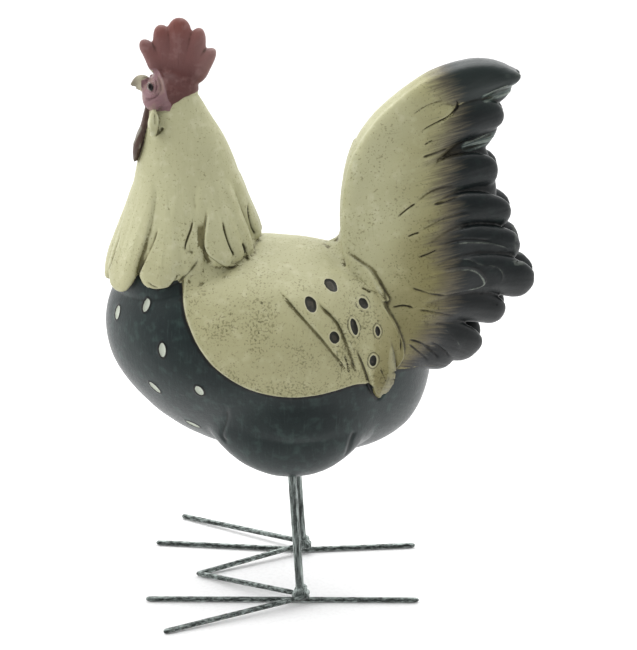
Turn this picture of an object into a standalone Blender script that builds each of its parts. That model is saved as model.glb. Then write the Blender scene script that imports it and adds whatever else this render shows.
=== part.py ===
"""Resin rooster figurine: one painted casting on two rod legs with welded wire toes.

Metres, +Z up. The origin is on the ground, halfway along the figure and halfway between the tips of
its outer toes. The beak points along -X, and the rooster's left side is at -Y.
"""
import math

import bmesh
import bpy
import numpy as np

# Driving sizes, in metres.
CASTING_HEIGHT = 0.2595
LEG_LENGTH = 0.0790
STANCE = 0.0720
ANKLE_X = -0.0100
ROD_DIAMETER = 0.0050
ROD_LEAN = 0.0048
SOCKET_DEPTH = 0.0220
WIRE_DIAMETER = 0.0032
FRONT_TOE = 0.0905
BACK_TOE = 0.0690
RIGHT_TOE_SPLAY = 0.0100
OUTER_TOE_FORWARD = 0.0770
LEFT_TOE_ASIDE = 0.0440
RIGHT_TOE_ASIDE = 0.0520
INNER_TOE_FORWARD = 0.0615
INNER_TOE_BEND = 0.0040
WELD_REACH = 0.0050
WELD_HEIGHT = 0.0066
CLEARANCE = 0.0003

# The carving is drawn in millimetres on a casting of this height, above legs of this length.
DRAWN_CASTING = 259.5
DRAWN_LEG = 79.0
CARVING = CASTING_HEIGHT / DRAWN_CASTING

# Fineness of the faceted solids.
FUSE_VOXEL = 0.0018
BODY_TRIANGLES = 7800
WIRE_SIDES = 12
ROD_SIDES = 16

HALF_STANCE = STANCE / 2
MIDDLE_Y = (LEFT_TOE_ASIDE - RIGHT_TOE_ASIDE) / 2
WIRE_RADIUS = WIRE_DIAMETER / 2
ROD_RADIUS = ROD_DIAMETER / 2
THIGH_Y = HALF_STANCE / CARVING

STEEL_COLOUR = (0.20, 0.22, 0.21, 1)
CREAM_COLOUR = (0.42, 0.42, 0.27, 1)


def clear_scene():
    for old in list(bpy.data.objects):
        bpy.data.objects.remove(old, do_unlink=True)


def material(name, colour, metallic, roughness):
    made = bpy.data.materials.new(name)
    made.use_nodes = True
    shader = made.node_tree.nodes["Principled BSDF"]
    shader.inputs["Base Color"].default_value = colour
    shader.inputs["Metallic"].default_value = metallic
    shader.inputs["Roughness"].default_value = roughness
    made.diffuse_color = colour
    return made


def add_object(name, bm, finish=None):
    """Put a bmesh into the scene as an object of its own, its faces pointing outwards."""
    mesh = bpy.data.meshes.new(name)
    bmesh.ops.recalc_face_normals(bm, faces=bm.faces)
    bm.to_mesh(mesh)
    bm.free()
    made = bpy.data.objects.new(name, mesh)
    bpy.context.scene.collection.objects.link(made)
    if finish is not None:
        mesh.materials.append(finish)
    return made


# Free forms of the casting.

def to_world(points):
    """Turn drawn millimetres into metres above the ground."""
    placed = np.array(points, float) * CARVING
    placed[:, 1] += MIDDLE_Y
    placed[:, 2] += LEG_LENGTH - DRAWN_LEG * CARVING
    return placed


def to_drawn(places):
    """Turn metres above the ground into drawn millimetres."""
    drawn = places - np.array((0, MIDDLE_Y, LEG_LENGTH - DRAWN_LEG * CARVING))
    return drawn / CARVING


def spread(values, t):
    """Read a smooth curve through evenly spaced values at places t from 0 to 1."""
    values = np.array(values, float)
    padded = np.concatenate([[2 * values[0] - values[1]], values, [2 * values[-1] - values[-2]]])
    place = np.clip(t, 0, 1) * (len(values) - 1)
    start = np.minimum(np.asarray(place).astype(int), len(values) - 2)
    f = place - start
    p0, p1, p2, p3 = (padded[start + k] for k in range(4))
    return p1 + 0.5 * f * (p2 - p0 + f * (2 * p0 - 5 * p1 + 4 * p2 - p3 + f * (3 * (p1 - p2) + p3 - p0)))


def spread_points(path, t):
    return np.stack([spread([p[k] for p in path], t) for k in range(len(path[0]))], axis=-1)


def closing(t, blunt):
    """How far a form has opened at t: 0 at both ends, 1 in the middle, fuller where it is blunter."""
    u = 1 - 2 * t
    power = np.where(u > 0, blunt[0], blunt[1])
    return np.sqrt(np.clip(1 - np.abs(u) ** power, 0, 1))


def form(bm, path, wide, deep, blunt=(2, 2), facing=(0, 1, 0), lean=0, level=False, rings=28, sides=24):
    """Draw a ball out along a path.

    wide and deep are half sizes across the path and along facing, blunt is the fullness of the two
    ends, lean turns the sections about the path in degrees, and level keeps them horizontal.
    """
    ball = bmesh.ops.create_uvsphere(bm, u_segments=sides, v_segments=rings, radius=1)["verts"]
    unit = np.array([v.co for v in ball])
    t = (1 - unit[:, 2]) / 2
    around = np.maximum(np.hypot(unit[:, 0], unit[:, 1]), 1e-9)
    centre = spread_points(path, t)
    ahead = spread_points(path, np.minimum(t + 0.01, 1)) - spread_points(path, np.maximum(t - 0.01, 0))
    if level:
        ahead[:] = (0, 0, 1)
    ahead /= np.linalg.norm(ahead, axis=1)[:, None]
    across = np.cross(np.array(facing, float), ahead)
    across /= np.linalg.norm(across, axis=1)[:, None]
    outward = np.cross(ahead, across)
    angle = math.radians(lean)
    turned = across * math.cos(angle) + outward * math.sin(angle)
    outward = outward * math.cos(angle) - across * math.sin(angle)
    size = closing(t, blunt)
    size[around < 1e-6] = 0
    reach = (unit[:, 0] / around * spread(wide, t) * size)[:, None] * turned
    reach += (unit[:, 1] / around * spread(deep, t) * size)[:, None] * outward
    for vertex, place in zip(ball, to_world(centre + reach)):
        vertex.co = place


def both_sides(bm, path, wide, deep, facing=(0, -1, 0), lean=0, **shape):
    """The same form on the left side and, mirrored, on the right."""
    form(bm, path, wide, deep, facing=facing, lean=lean, **shape)
    mirrored = [(x, -y, z) for x, y, z in path]
    form(bm, mirrored, wide, deep, facing=(facing[0], -facing[1], facing[2]), lean=-lean, **shape)


# The torso from its underside to the saddle: middle of each level section, half length, half breadth.
TORSO_PATH = [(-8.5, 0, 82), (-20, 0, 116), (-28, 0, 148), (-29.5, 0, 180), (-38, 0, 212)]
TORSO_LONG = [95, 90, 93, 97.5, 102]
TORSO_BROAD = [50, 55, 59, 57, 50]
TORSO_BLUNT = (2.3, 2.7)


def torso(bm):
    form(bm, TORSO_PATH, TORSO_LONG, TORSO_BROAD, blunt=TORSO_BLUNT, level=True, rings=48, sides=64)


def torso_side(x, z):
    """How far the torso's flank stands from the middle at a place seen from the side."""
    low, high = TORSO_PATH[0][2], TORSO_PATH[-1][2]
    t = np.clip((z - low) / (high - low), 0.01, 0.99)
    size = closing(np.array(t), TORSO_BLUNT)
    along = (x - spread([p[0] for p in TORSO_PATH], t)) / (spread(TORSO_LONG, t) * size)
    return float(spread(TORSO_BROAD, t) * size * np.sqrt(max(1 - along * along, 0.05)))


# The belly between the legs, and the thigh that a leg rod is set into.
BELLY = ([(-13, 0, 82.5), (-16, 0, 120), (-20, 0, 159)], [56, 62, 56], [52, 56, 55])
THIGH = ([(-15.5, -THIGH_Y + 2, 79), (-17.5, -THIGH_Y + 9, 122), (-20, -THIGH_Y + 18, 165)],
         [46.5, 49, 40], [25, 24, 14])


def thighs(bm):
    form(bm, *BELLY, blunt=(2.6, 2), level=True, rings=32, sides=48)
    both_sides(bm, *THIGH, level=True, rings=32, sides=40)


# The neck from the crown down: middle of each level section, half size along X and along Y.
NECK_PATH = [(-82, 0, 306), (-79.8, 0, 286), (-75.8, 0, 266), (-74.2, 0, 246),
             (-74.2, 0, 226), (-73.6, 0, 206), (-73.2, 0, 186), (-70, 0, 166)]
NECK_LONG = [14, 19, 25.2, 30.3, 35.2, 42, 46.8, 46]
NECK_BROAD = [11, 14, 19, 25, 30, 36, 40, 41]
CROWN = NECK_PATH[0][2]
NECK_DROP = CROWN - NECK_PATH[-1][2]


def neck(bm):
    form(bm, NECK_PATH, NECK_LONG, NECK_BROAD, blunt=(6, 8), level=True, rings=40, sides=48)


def neck_point(azimuth, height, lift=0):
    """A place on the neck: azimuth 0 is its front, 90 its left side, 180 its back."""
    t = (CROWN - height) / NECK_DROP
    turn = math.radians(azimuth)
    long = spread(NECK_LONG, t) + lift
    broad = spread(NECK_BROAD, t) + lift
    middle = spread([p[0] for p in NECK_PATH], t)
    return (middle - long * math.cos(turn), -broad * math.sin(turn), height)


# Hackle feathers of one side: azimuth at the root and at the tip, height of the tip, half width,
# and how far the tip stands off the neck.
HACKLE = [(3, 5, 188, 9, 1.0), (29, 33, 186.5, 16.5, 1.2), (63, 69, 193, 13.5, 1.2),
          (85, 90, 200, 12, -0.6), (111, 118, 205, 8.5, 1.8), (125, 132, 206, 7, 1.6),
          (138, 145, 207.5, 6.5, 1.2), (166, 172, 213, 8, 0.6)]
HACKLE_ROOT = 262
HACKLE_ROOT_LIFT = -5.5


def hackle(bm):
    for root, tip, low, width, lift in HACKLE:
        share = np.linspace(0, 1, 6)
        path = [neck_point(root + (tip - root) * s, HACKLE_ROOT + (low - HACKLE_ROOT) * s,
                           HACKLE_ROOT_LIFT + (lift - HACKLE_ROOT_LIFT) * s) for s in share]
        turn = math.radians((root + tip) / 2)
        both_sides(bm, path, [width * s for s in (0.5, 0.75, 0.95, 1.05, 1.0, 0.8)],
                   [3.5, 4, 4.3, 4.5, 4.5, 3.5], blunt=(3, 9),
                   facing=(-math.cos(turn), -math.sin(turn), 0))


# The head: path, half sizes along X or Z, half sizes along Y.
SKULL = ([(-98.6, 0, 298), (-92, 0, 296.5), (-82, 0, 297.5), (-67, 0, 300)],
         [9, 12, 13, 11.5], [9, 12.5, 13, 10])
UPPER_BEAK = ([(-94, 0, 301.5), (-100, 0, 302.2), (-105.4, 0, 300)], [4.6, 3.6, 1.3], [4.8, 3.4, 1.4])
LOWER_BEAK = ([(-94, 0, 298.3), (-98, 0, 298.6), (-102.6, 0, 298.3)], [2.4, 2.0, 1.2], [3.6, 2.6, 1.2])
EYE = ([(-96.2, -10.2, 299), (-93.4, -11.4, 299.4), (-90.6, -11.8, 299)], [2.2, 3.0, 2.0], [2.0, 2.6, 2.0])
WATTLE = ([(-95, -4, 291), (-97.3, -4.5, 279), (-101.5, -5.5, 267), (-103.6, -6, 257)],
          [2.6, 2.2, 2.6, 1.7], [3.5, 4.5, 5.5, 3.5])
EAR_LOBE = ([(-91.3, -12.5, 289), (-91.8, -15.5, 282), (-92.2, -17.5, 274.5)],
            [2.2, 2.8, 2.6], [2.6, 3.2, 3.0])


def head(bm):
    form(bm, *SKULL, blunt=(2.4, 2.4))
    form(bm, *UPPER_BEAK)
    form(bm, *LOWER_BEAK)
    both_sides(bm, *EYE, rings=12, sides=12)
    both_sides(bm, *WATTLE, blunt=(3, 3), rings=20, sides=16)
    both_sides(bm, *EAR_LOBE, blunt=(3, 3.5), rings=16, sides=16)


# Comb lobes, front to back: root and tip seen from the side, half widths from root to tip.
COMB = [((-84, 307), (-98.8, 325.5), (7, 7, 4.8, 3.4)),
        ((-83, 301), (-87.8, 334.4), (8, 9, 6.2, 4.6)),
        ((-79, 301), (-77.0, 338.5), (8, 10, 8.0, 6.0)),
        ((-75, 301), (-65.6, 332.6), (8, 9, 6.2, 3.8)),
        ((-76, 303), (-57.4, 320.6), (8, 8.5, 5.8, 2.8))]
COMB_DEEP = [6, 5.5, 4.6, 3.8]


def comb(bm):
    for root, tip, widths in COMB:
        middle = ((root[0] + tip[0]) / 2, (root[1] + tip[1]) / 2)
        path = [(x, 0, z) for x, z in (root, middle, tip)]
        form(bm, path, widths, COMB_DEEP, blunt=(3, 6), rings=20, sides=16)


# Tail feathers of the left side, top to bottom: path from root to tip, half widths along it.
TAIL_FEATHERS = [
    ([(24, -24, 190), (26, -17, 226), (36, -11, 262),
      (60, -8, 290), (87, -6, 303.5), (113, -4, 306.5)],
     [14, 15.5, 16.5, 14, 12, 6]),
    ([(28, -27, 190), (34, -19, 224), (50, -13.5, 255),
      (68, -8, 274.5), (87, -5.5, 283), (104, -3, 284)],
     [12, 13, 12, 11, 11, 9.5]),
    ([(30, -28, 190), (42, -22, 214), (56, -16, 235.5),
      (70, -10.5, 248), (86, -6.5, 252), (101, -3.5, 249)],
     [12, 12, 12, 12, 12, 11]),
    ([(32, -30, 186), (46, -24, 206), (62, -18, 221.5),
      (78, -11.5, 230), (94, -7.5, 230), (108, -4, 223.5)],
     [12, 12, 12, 11, 11, 10.5]),
    ([(34, -31, 180), (50, -26, 195), (68, -19, 207.5),
      (85, -12.5, 212), (101, -8, 210.5), (115, -4.5, 204.5)],
     [12, 12, 12, 11, 11, 10]),
    ([(36, -31, 176), (54, -27, 186), (72, -21, 192.5),
      (90, -14, 194), (106, -8.5, 191.5), (122, -4.5, 183.5)],
     [12, 12, 13, 13, 13, 12]),
    ([(34, -31, 170), (50, -27, 174), (66, -22, 176.5),
      (81, -15, 176), (95, -9, 172.5), (106, -5.5, 167)],
     [11, 11, 11, 10.5, 10, 9]),
    ([(32, -32, 165), (45, -29, 165), (56.5, -24.5, 163),
      (67.5, -18, 159.5), (80, -12, 152.5), (89.7, -7, 144)],
     [12, 11, 11, 12, 13, 12.5]),
    ([(30, -32, 161), (39, -30, 158), (48, -25.5, 154),
      (57.5, -19.5, 149.5), (68, -13, 145), (78, -8, 141.7)],
     [10, 10, 10, 10, 9.5, 8]),
]
TAIL_DEEP = [9, 8, 7, 6, 5.5, 4]
TAIL_LEAN = 12

# The tail's core, and its rounded leading edge between the two top feathers.
TAIL_CORE = ([(14, 0, 160), (38, 0, 192), (56, 0, 222), (70, 0, 252), (82, 0, 282)],
             [30, 36, 40, 36, 20], [42, 31, 19, 11, 6])
TAIL_FRONT = ([(24, 0, 190), (26, 0, 226), (36, 0, 262), (60, 0, 290), (87, 0, 303.5), (112, 0, 306.5)],
              [14.5, 16, 17, 14.5, 12.4, 6], [32, 24, 17, 13, 10.5, 6])

# Thin webs in the middle of the tail that join the tips of its top three feathers.
TAIL_WEBS = [[(80, 0, 288), (94, 0, 295), (108, 0, 302)], [(76, 0, 262), (88, 0, 270), (100, 0, 280)]]


def tail(bm):
    form(bm, *TAIL_CORE, blunt=(2.5, 3), rings=36, sides=40)
    form(bm, *TAIL_FRONT, blunt=(3, 9), rings=40, sides=32)
    for path, wide in TAIL_FEATHERS:
        both_sides(bm, path, wide, TAIL_DEEP, blunt=(3, 9), lean=TAIL_LEAN, rings=32)
    for path in TAIL_WEBS:
        form(bm, path, [7, 8, 5], [5, 5, 4], blunt=(3, 4), rings=16, sides=16)


# Wing feathers of the left side whose tips stand clear of the plate: place seen from the side with
# the depth below the torso's skin, and half widths.
WING_FEATHERS = [
    ([(16, 190, 8), (27, 171, 6), (33, 152, 3), (34.5, 130.5, 0)], [6, 7.5, 7.8, 4.5]),
    ([(4, 208, 5), (16, 203, 3), (28, 195, 1), (38, 183, 0)], [5, 6.5, 6, 3]),
]
WING_DEEP = [3, 4.5, 4.8, 3.6]


def wings(bm):
    for places, wide in WING_FEATHERS:
        path = [(x, -torso_side(x, z) + sunk, z) for x, z, sunk in places]
        both_sides(bm, path, wide, WING_DEEP, blunt=(3, 5), lean=-8)


# Outline of the raised wing plate, seen from the left, from the shoulder along the lower edge.
WING_PLATE = [(-75, 203), (-75.5, 190), (-74, 180), (-69, 168), (-63, 158.5), (-56, 151), (-47, 144.5),
              (-37, 139.5), (-26, 136.5), (-14, 135), (-2, 135.5), (9, 137.5), (20, 140), (31, 140),
              (42, 144), (48, 151), (48.4, 159), (46.3, 166), (43.4, 173), (38.5, 182), (36, 192),
              (28, 206), (10, 219), (-30, 224), (-62, 218)]
PLATE_LIFT = 3.0
PLATE_EDGE = 2.4
PLATE_FADE = (186, 208)

# Overlapping feather edges on the wing: a line seen from the left, raised on its right-hand side.
WING_OVERLAPS = [[(-16.9, 190), (-10.2, 184), (-1.9, 175.7), (6.5, 165.7), (13.2, 157.4), (18.5, 149.5)],
                 [(4.7, 184.8), (8.9, 181), (13.9, 174.8), (17.3, 167), (20.6, 160), (23.2, 153),
                  (24.9, 145)]]
OVERLAP_LIFT = 1.8
OVERLAP_REACH = 8.0
OVERLAP_EDGE = (-0.8, 1.4)


def drawn_line(points, closed=False, steps=8):
    """Points close together on a smooth curve through the given ones."""
    points = points + points[:1] if closed else points
    return spread_points(points, np.linspace(0, 1, steps * (len(points) - 1) + 1))


def distance_to(points, line):
    """Distance from places (x, z) to a drawn line, and on which side of it they lie."""
    best = np.full(len(points), np.inf)
    side = np.zeros(len(points))
    for start, end in zip(line[:-1], line[1:]):
        run = end - start
        share = np.clip(((points - start) @ run) / (run @ run), 0, 1)
        away = points - start - share[:, None] * run
        gap = np.hypot(away[:, 0], away[:, 1])
        nearer = gap < best
        best[nearer] = gap[nearer]
        side[nearer] = np.sign(run[0] * away[nearer, 1] - run[1] * away[nearer, 0])
    return best, side


def inside(points, outline):
    """Which places (x, z) lie inside a closed line."""
    within = np.zeros(len(points), bool)
    for start, end in zip(outline[:-1], outline[1:]):
        crosses = (start[1] > points[:, 1]) != (end[1] > points[:, 1])
        slope = (end[0] - start[0]) / (end[1] - start[1]) if end[1] != start[1] else 0
        within ^= crosses & (points[:, 0] < start[0] + (points[:, 1] - start[1]) * slope)
    return within


def ease(value, low=0, high=1):
    value = np.clip((value - low) / (high - low), 0, 1)
    return value * value * (3 - 2 * value)


def wing_relief(places, normals):
    """How far the wing plate and its feather edges stand out of the flanks, in drawn millimetres."""
    flank = ease(np.abs(places[:, 1]), 22, 30) * ease(np.abs(normals[:, 1]), 0.2, 0.5)
    outline = drawn_line(WING_PLATE, closed=True)
    low, high = outline.min(axis=0) - OVERLAP_REACH, outline.max(axis=0) + OVERLAP_REACH
    seen = places[:, [0, 2]]
    near = (flank > 0) & (seen > low).all(axis=1) & (seen < high).all(axis=1)
    seen = seen[near]
    gap, _ = distance_to(seen, outline)
    plate = np.where(inside(seen, outline), PLATE_LIFT * ease(gap, 0, PLATE_EDGE), 0)
    plate *= 1 - ease(seen[:, 1], *PLATE_FADE)
    for overlap in WING_OVERLAPS:
        gap, side = distance_to(seen, drawn_line(overlap))
        across = -gap * side
        plate += OVERLAP_LIFT * ease(across, *OVERLAP_EDGE) * np.exp(-np.maximum(across, 0) / OVERLAP_REACH)
    lift = np.zeros(len(places))
    lift[near] = plate * flank[near]
    return lift


def carve_wings(skin):
    """Move the skin's vertices along their normals by the wings' relief."""
    places = np.empty(len(skin.vertices) * 3)
    normals = np.empty(len(skin.vertices) * 3)
    skin.vertices.foreach_get("co", places)
    skin.vertex_normals.foreach_get("vector", normals)
    places = places.reshape(-1, 3)
    normals = normals.reshape(-1, 3)
    places += normals * (wing_relief(to_drawn(places), normals) * CARVING)[:, None]
    skin.vertices.foreach_set("co", places.ravel())
    skin.update()


def fused_casting():
    """All the forms of the casting, melted into one skin."""
    bm = bmesh.new()
    for carve in (torso, thighs, neck, hackle, head, comb, tail, wings):
        carve(bm)
    rough = add_object("rough_casting", bm)
    fuse = rough.modifiers.new("fuse", "REMESH")
    fuse.mode = "VOXEL"
    fuse.voxel_size = FUSE_VOXEL
    skin = bpy.data.meshes.new_from_object(rough.evaluated_get(bpy.context.evaluated_depsgraph_get()))
    bpy.data.objects.remove(rough, do_unlink=True)
    return skin


def casting(finish):
    skin = fused_casting()
    carve_wings(skin)
    skin.name = "resin_rooster"
    skin.polygons.foreach_set("use_smooth", [True] * len(skin.polygons))
    skin.materials.clear()
    skin.materials.append(finish)
    made = bpy.data.objects.new("resin_rooster", skin)
    bpy.context.scene.collection.objects.link(made)
    thin = made.modifiers.new("facet", "DECIMATE")
    skin.calc_loop_triangles()
    thin.ratio = BODY_TRIANGLES / len(skin.loop_triangles)
    thin.use_collapse_triangulate = True
    for side in (-1, 1):
        socket = made.modifiers.new("rod_socket", "BOOLEAN")
        socket.operation = "DIFFERENCE"
        socket.object = rod_cutter(side)
    return made


# Legs and toes. side is -1 for the left foot, which is at -Y, and 1 for the right foot.

def unit(vector):
    return np.asarray(vector, float) / np.linalg.norm(vector)


def ankle(side, height=0):
    return np.array((ANKLE_X, MIDDLE_Y + side * HALF_STANCE, height))


def tube(bm, points, radius, sides):
    """A bar along straight runs, mitred at the bends, with one facet of a level run facing down."""
    runs = [unit(np.subtract(b, a)) for a, b in zip(points[:-1], points[1:])]
    corner = radius / math.cos(math.pi / sides)
    loops = []
    for i, place in enumerate(points):
        back = runs[max(i - 1, 0)]
        ahead = runs[min(i, len(runs) - 1)]
        mitre = unit(back + ahead)
        aside = unit(np.cross(back, (0, 1, 0) if abs(back[2]) > 0.9 else (0, 0, 1)))
        above = np.cross(aside, back)
        ring = []
        for k in range(sides):
            turn = 2 * math.pi * (k + 0.5) / sides - math.pi / 2
            offset = corner * (math.cos(turn) * aside + math.sin(turn) * above)
            offset -= back * (offset @ mitre) / (back @ mitre)
            ring.append(bm.verts.new(place + offset))
        loops.append([bm.edges.new((ring[k - 1], ring[k])) for k in range(sides)])
    for one, other in zip(loops[:-1], loops[1:]):
        for face in bmesh.ops.bridge_loops(bm, edges=one + other)["faces"]:
            face.smooth = True
    bmesh.ops.holes_fill(bm, edges=loops[0] + loops[-1], sides=sides)


def rod_ends(side):
    """The rod stands on the long toe wire and leans a little forwards into its socket."""
    foot = ankle(side, WIRE_DIAMETER + CLEARANCE)
    top = ankle(side, LEG_LENGTH + SOCKET_DEPTH)
    top[0] -= ROD_LEAN * (LEG_LENGTH + SOCKET_DEPTH) / LEG_LENGTH
    return foot, top


def rod_cutter(side):
    foot, top = rod_ends(side)
    up = unit(top - foot)
    bm = bmesh.new()
    tube(bm, [foot, top + up * CLEARANCE], ROD_RADIUS + CLEARANCE, ROD_SIDES)
    return hidden_cutter("rod_cutter", bm)


def hidden_cutter(name, bm):
    cutter = add_object(name, bm)
    cutter.hide_render = True
    cutter.display_type = "WIRE"
    return cutter


def long_toe_points(side):
    splay = RIGHT_TOE_SPLAY if side > 0 else 0
    foot = ankle(side, WIRE_RADIUS)
    tips = [foot + (-FRONT_TOE, splay, 0), foot + (BACK_TOE, splay * BACK_TOE / FRONT_TOE, 0)]
    return [tips[0], foot, tips[1]] if splay else tips


def outer_toe_points(side):
    """This toe starts behind the rod, runs past its outer side and slopes down to the ground."""
    aside = RIGHT_TOE_ASIDE if side > 0 else LEFT_TOE_ASIDE
    tip = ankle(side, WIRE_RADIUS) + (-OUTER_TOE_FORWARD, side * aside, 0)
    ahead = unit((-OUTER_TOE_FORWARD, side * aside, 0))
    beside = np.array((abs(ahead[1]), side * abs(ahead[0]), 0))
    root = ankle(side, WIRE_RADIUS + WIRE_DIAMETER + CLEARANCE)
    root += beside * (ROD_RADIUS + WIRE_RADIUS + CLEARANCE) - ahead * WIRE_DIAMETER
    return [root, tip]


def inner_toe_points():
    """One wire from ankle to ankle, bent to a V whose tip is on the ground."""
    tip = np.array((ANKLE_X - INNER_TOE_FORWARD, MIDDLE_Y, WIRE_RADIUS))
    arms = []
    for side in (-1, 1):
        foot = ankle(side, WIRE_RADIUS + WIRE_DIAMETER + CLEARANCE)
        out = unit(tip - foot)
        arms.append((foot + out * (ROD_RADIUS + WIRE_RADIUS), tip - out * INNER_TOE_BEND))
    return [arms[0][0], arms[0][1], tip, arms[1][1], arms[1][0]]


def wire_object(name, points, finish):
    bm = bmesh.new()
    tube(bm, points, WIRE_RADIUS, WIRE_SIDES)
    return add_object(name, bm, finish)


def leg(name, side, finish):
    """A rod with the lump of weld round its foot, which the toe wires are let into."""
    foot, top = rod_ends(side)
    bm = bmesh.new()
    tube(bm, [foot, top], ROD_RADIUS, ROD_SIDES)
    made = add_object(name, bm, finish)
    bm = bmesh.new()
    weld = bmesh.ops.create_uvsphere(bm, u_segments=20, v_segments=12, radius=1)["verts"]
    bmesh.ops.scale(bm, vec=(WELD_REACH, WELD_REACH, WELD_HEIGHT / 2), verts=weld)
    bmesh.ops.translate(bm, vec=ankle(side, WIRE_DIAMETER + WELD_HEIGHT / 2), verts=weld)
    lump = made.modifiers.new("weld", "BOOLEAN")
    lump.operation = "UNION"
    lump.object = hidden_cutter("weld_shape", bm)
    for points in (long_toe_points(side), outer_toe_points(side), inner_toe_points()):
        bm = bmesh.new()
        tube(bm, points, WIRE_RADIUS + CLEARANCE, WIRE_SIDES)
        groove = made.modifiers.new("wire_groove", "BOOLEAN")
        groove.operation = "DIFFERENCE"
        groove.object = hidden_cutter("wire_cutter", bm)
    return made


def main():
    clear_scene()
    casting(material("painted_resin", CREAM_COLOUR, 0, 0.55))
    for name, side in (("left", -1), ("right", 1)):
        leg(name + "_leg", side, material(name + "_leg_steel", STEEL_COLOUR, 1, 0.45))
        wire_object(name + "_long_toe", long_toe_points(side),
                    material(name + "_long_toe_steel", STEEL_COLOUR, 1, 0.45))
        wire_object(name + "_outer_toe", outer_toe_points(side),
                    material(name + "_outer_toe_steel", STEEL_COLOUR, 1, 0.45))
    wire_object("inner_toes", inner_toe_points(), material("inner_toes_steel", STEEL_COLOUR, 1, 0.45))


main()
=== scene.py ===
import math

import bmesh
import bpy
import numpy as np
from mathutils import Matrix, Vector, noise


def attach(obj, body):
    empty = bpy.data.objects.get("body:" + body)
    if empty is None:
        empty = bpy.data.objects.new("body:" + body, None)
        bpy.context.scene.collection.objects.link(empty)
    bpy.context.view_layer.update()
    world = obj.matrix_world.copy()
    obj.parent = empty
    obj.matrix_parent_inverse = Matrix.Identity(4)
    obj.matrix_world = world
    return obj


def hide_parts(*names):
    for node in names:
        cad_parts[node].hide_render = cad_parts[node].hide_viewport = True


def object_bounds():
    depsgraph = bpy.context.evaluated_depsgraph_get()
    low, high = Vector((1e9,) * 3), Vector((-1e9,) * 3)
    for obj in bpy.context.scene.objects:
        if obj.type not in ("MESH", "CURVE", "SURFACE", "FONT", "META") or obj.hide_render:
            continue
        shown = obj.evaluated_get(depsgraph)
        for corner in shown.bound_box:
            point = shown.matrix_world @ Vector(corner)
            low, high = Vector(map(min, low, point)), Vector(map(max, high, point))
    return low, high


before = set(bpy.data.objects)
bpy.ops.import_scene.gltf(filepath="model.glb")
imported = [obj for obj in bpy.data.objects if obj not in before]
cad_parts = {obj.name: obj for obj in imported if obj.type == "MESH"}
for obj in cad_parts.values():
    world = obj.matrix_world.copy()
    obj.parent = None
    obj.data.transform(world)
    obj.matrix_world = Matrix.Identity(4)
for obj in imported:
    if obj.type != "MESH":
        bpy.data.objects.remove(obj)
cad_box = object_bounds()
scene = bpy.context.scene

# A painted resin rooster on two rod legs with wire toes. Its casting is drawn in millimetres: the beak
# points along -X, the rooster's left side is at -Y, the middle of the casting is y 0 and the ground z 0.
CASTING_SHIFT = -4.0
LEG_LENGTH = 79.0
HALF_STANCE = 36.0
ANKLE_X = -10.0
ROD_RADIUS = 2.5
ROD_LEAN = 4.8
SOCKET_DEPTH = 21.0
WIRE_RADIUS = 1.6
CLEARANCE = 0.3
LEFTWARD = (0, -1, 0)

# How the casting is melted together, thinned, and kept inside the box round the whole rooster.
FUSE_VOXEL = 0.70
CASTING_TRIANGLES = 188000
BOX_MARGIN = 0.1

# What a place is given that is far from every dot or form, and one that is far outside an outline.
FAR = 9.0
OUTSIDE = -12.0

# The camera: a long lens a little above the rooster, square to its left side. Metres and degrees.
LENS, SENSOR = 135.2, 36
AIM_HEIGHT, CAMERA_DISTANCE = 0.1574, 1.415
CAMERA_AZIMUTH, CAMERA_ELEVATION = 0.6, 18.5


def stand_camera():
    lens = bpy.data.cameras.new("camera")
    lens.lens = LENS
    lens.sensor_width = SENSOR
    camera = bpy.data.objects.new("camera", lens)
    scene.collection.objects.link(camera)
    azimuth, elevation = math.radians(CAMERA_AZIMUTH), math.radians(CAMERA_ELEVATION)
    back = Vector((math.sin(azimuth) * math.cos(elevation), -math.cos(azimuth) * math.cos(elevation),
                   math.sin(elevation)))
    camera.location = Vector((0, 0, AIM_HEIGHT)) + back * CAMERA_DISTANCE
    camera.rotation_euler = back.to_track_quat("Z", "Y").to_euler()
    scene.camera = camera


stand_camera()


# Tools for materials.

def linear(hexed):
    """An sRGB hex colour as the linear one that a shader takes."""
    parts = [int(hexed[k:k + 2], 16) / 255 for k in (1, 3, 5)]
    return tuple(p / 12.92 if p <= 0.04045 else ((p + 0.055) / 1.055) ** 2.4 for p in parts) + (1,)


def node(tree, kind, inputs=None, **settings):
    """Add a shader node, set its options, and set or link its inputs. A text is a hex colour."""
    made = tree.nodes.new("ShaderNode" + kind)
    for name, value in settings.items():
        setattr(made, name, value)
    for key, value in (inputs or {}).items():
        if isinstance(value, bpy.types.NodeSocket):
            tree.links.new(value, made.inputs[key])
        else:
            made.inputs[key].default_value = linear(value) if isinstance(value, str) else value
    return made


def maths(tree, operation, *inputs):
    return node(tree, "Math", dict(enumerate(inputs)), operation=operation).outputs[0]


def stretched(tree, vector, scale):
    return node(tree, "VectorMath", {0: vector, 1: scale}, operation="MULTIPLY").outputs[0]


def cloudy(tree, place, size, detail=2, roughness=0.5):
    """Random clouds of a size in millimetres, where place is in metres."""
    return node(tree, "TexNoise", {"Vector": place, "Scale": 1000 / size, "Detail": detail,
                                   "Roughness": roughness}).outputs[0]


def graded(tree, value, start, end, least=0, most=1, **settings):
    """Least where the value is at start, most where it is at end."""
    return node(tree, "MapRange", {0: value, 1: start, 2: end, 3: least, 4: most}, **settings).outputs[0]


def mixed(tree, share, first, second, blend="MIX"):
    return node(tree, "Mix", {0: share, 6: first, 7: second}, data_type="RGBA", blend_type=blend).outputs[2]


def coat(tree, under, colour, place, start, end, most=1, blend="MIX"):
    """Brush a colour over what is under it, from none at start to its most at end."""
    cover = graded(tree, place, start, end, most=most, interpolation_type="SMOOTHSTEP")
    return mixed(tree, cover, under, colour, blend)


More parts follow.
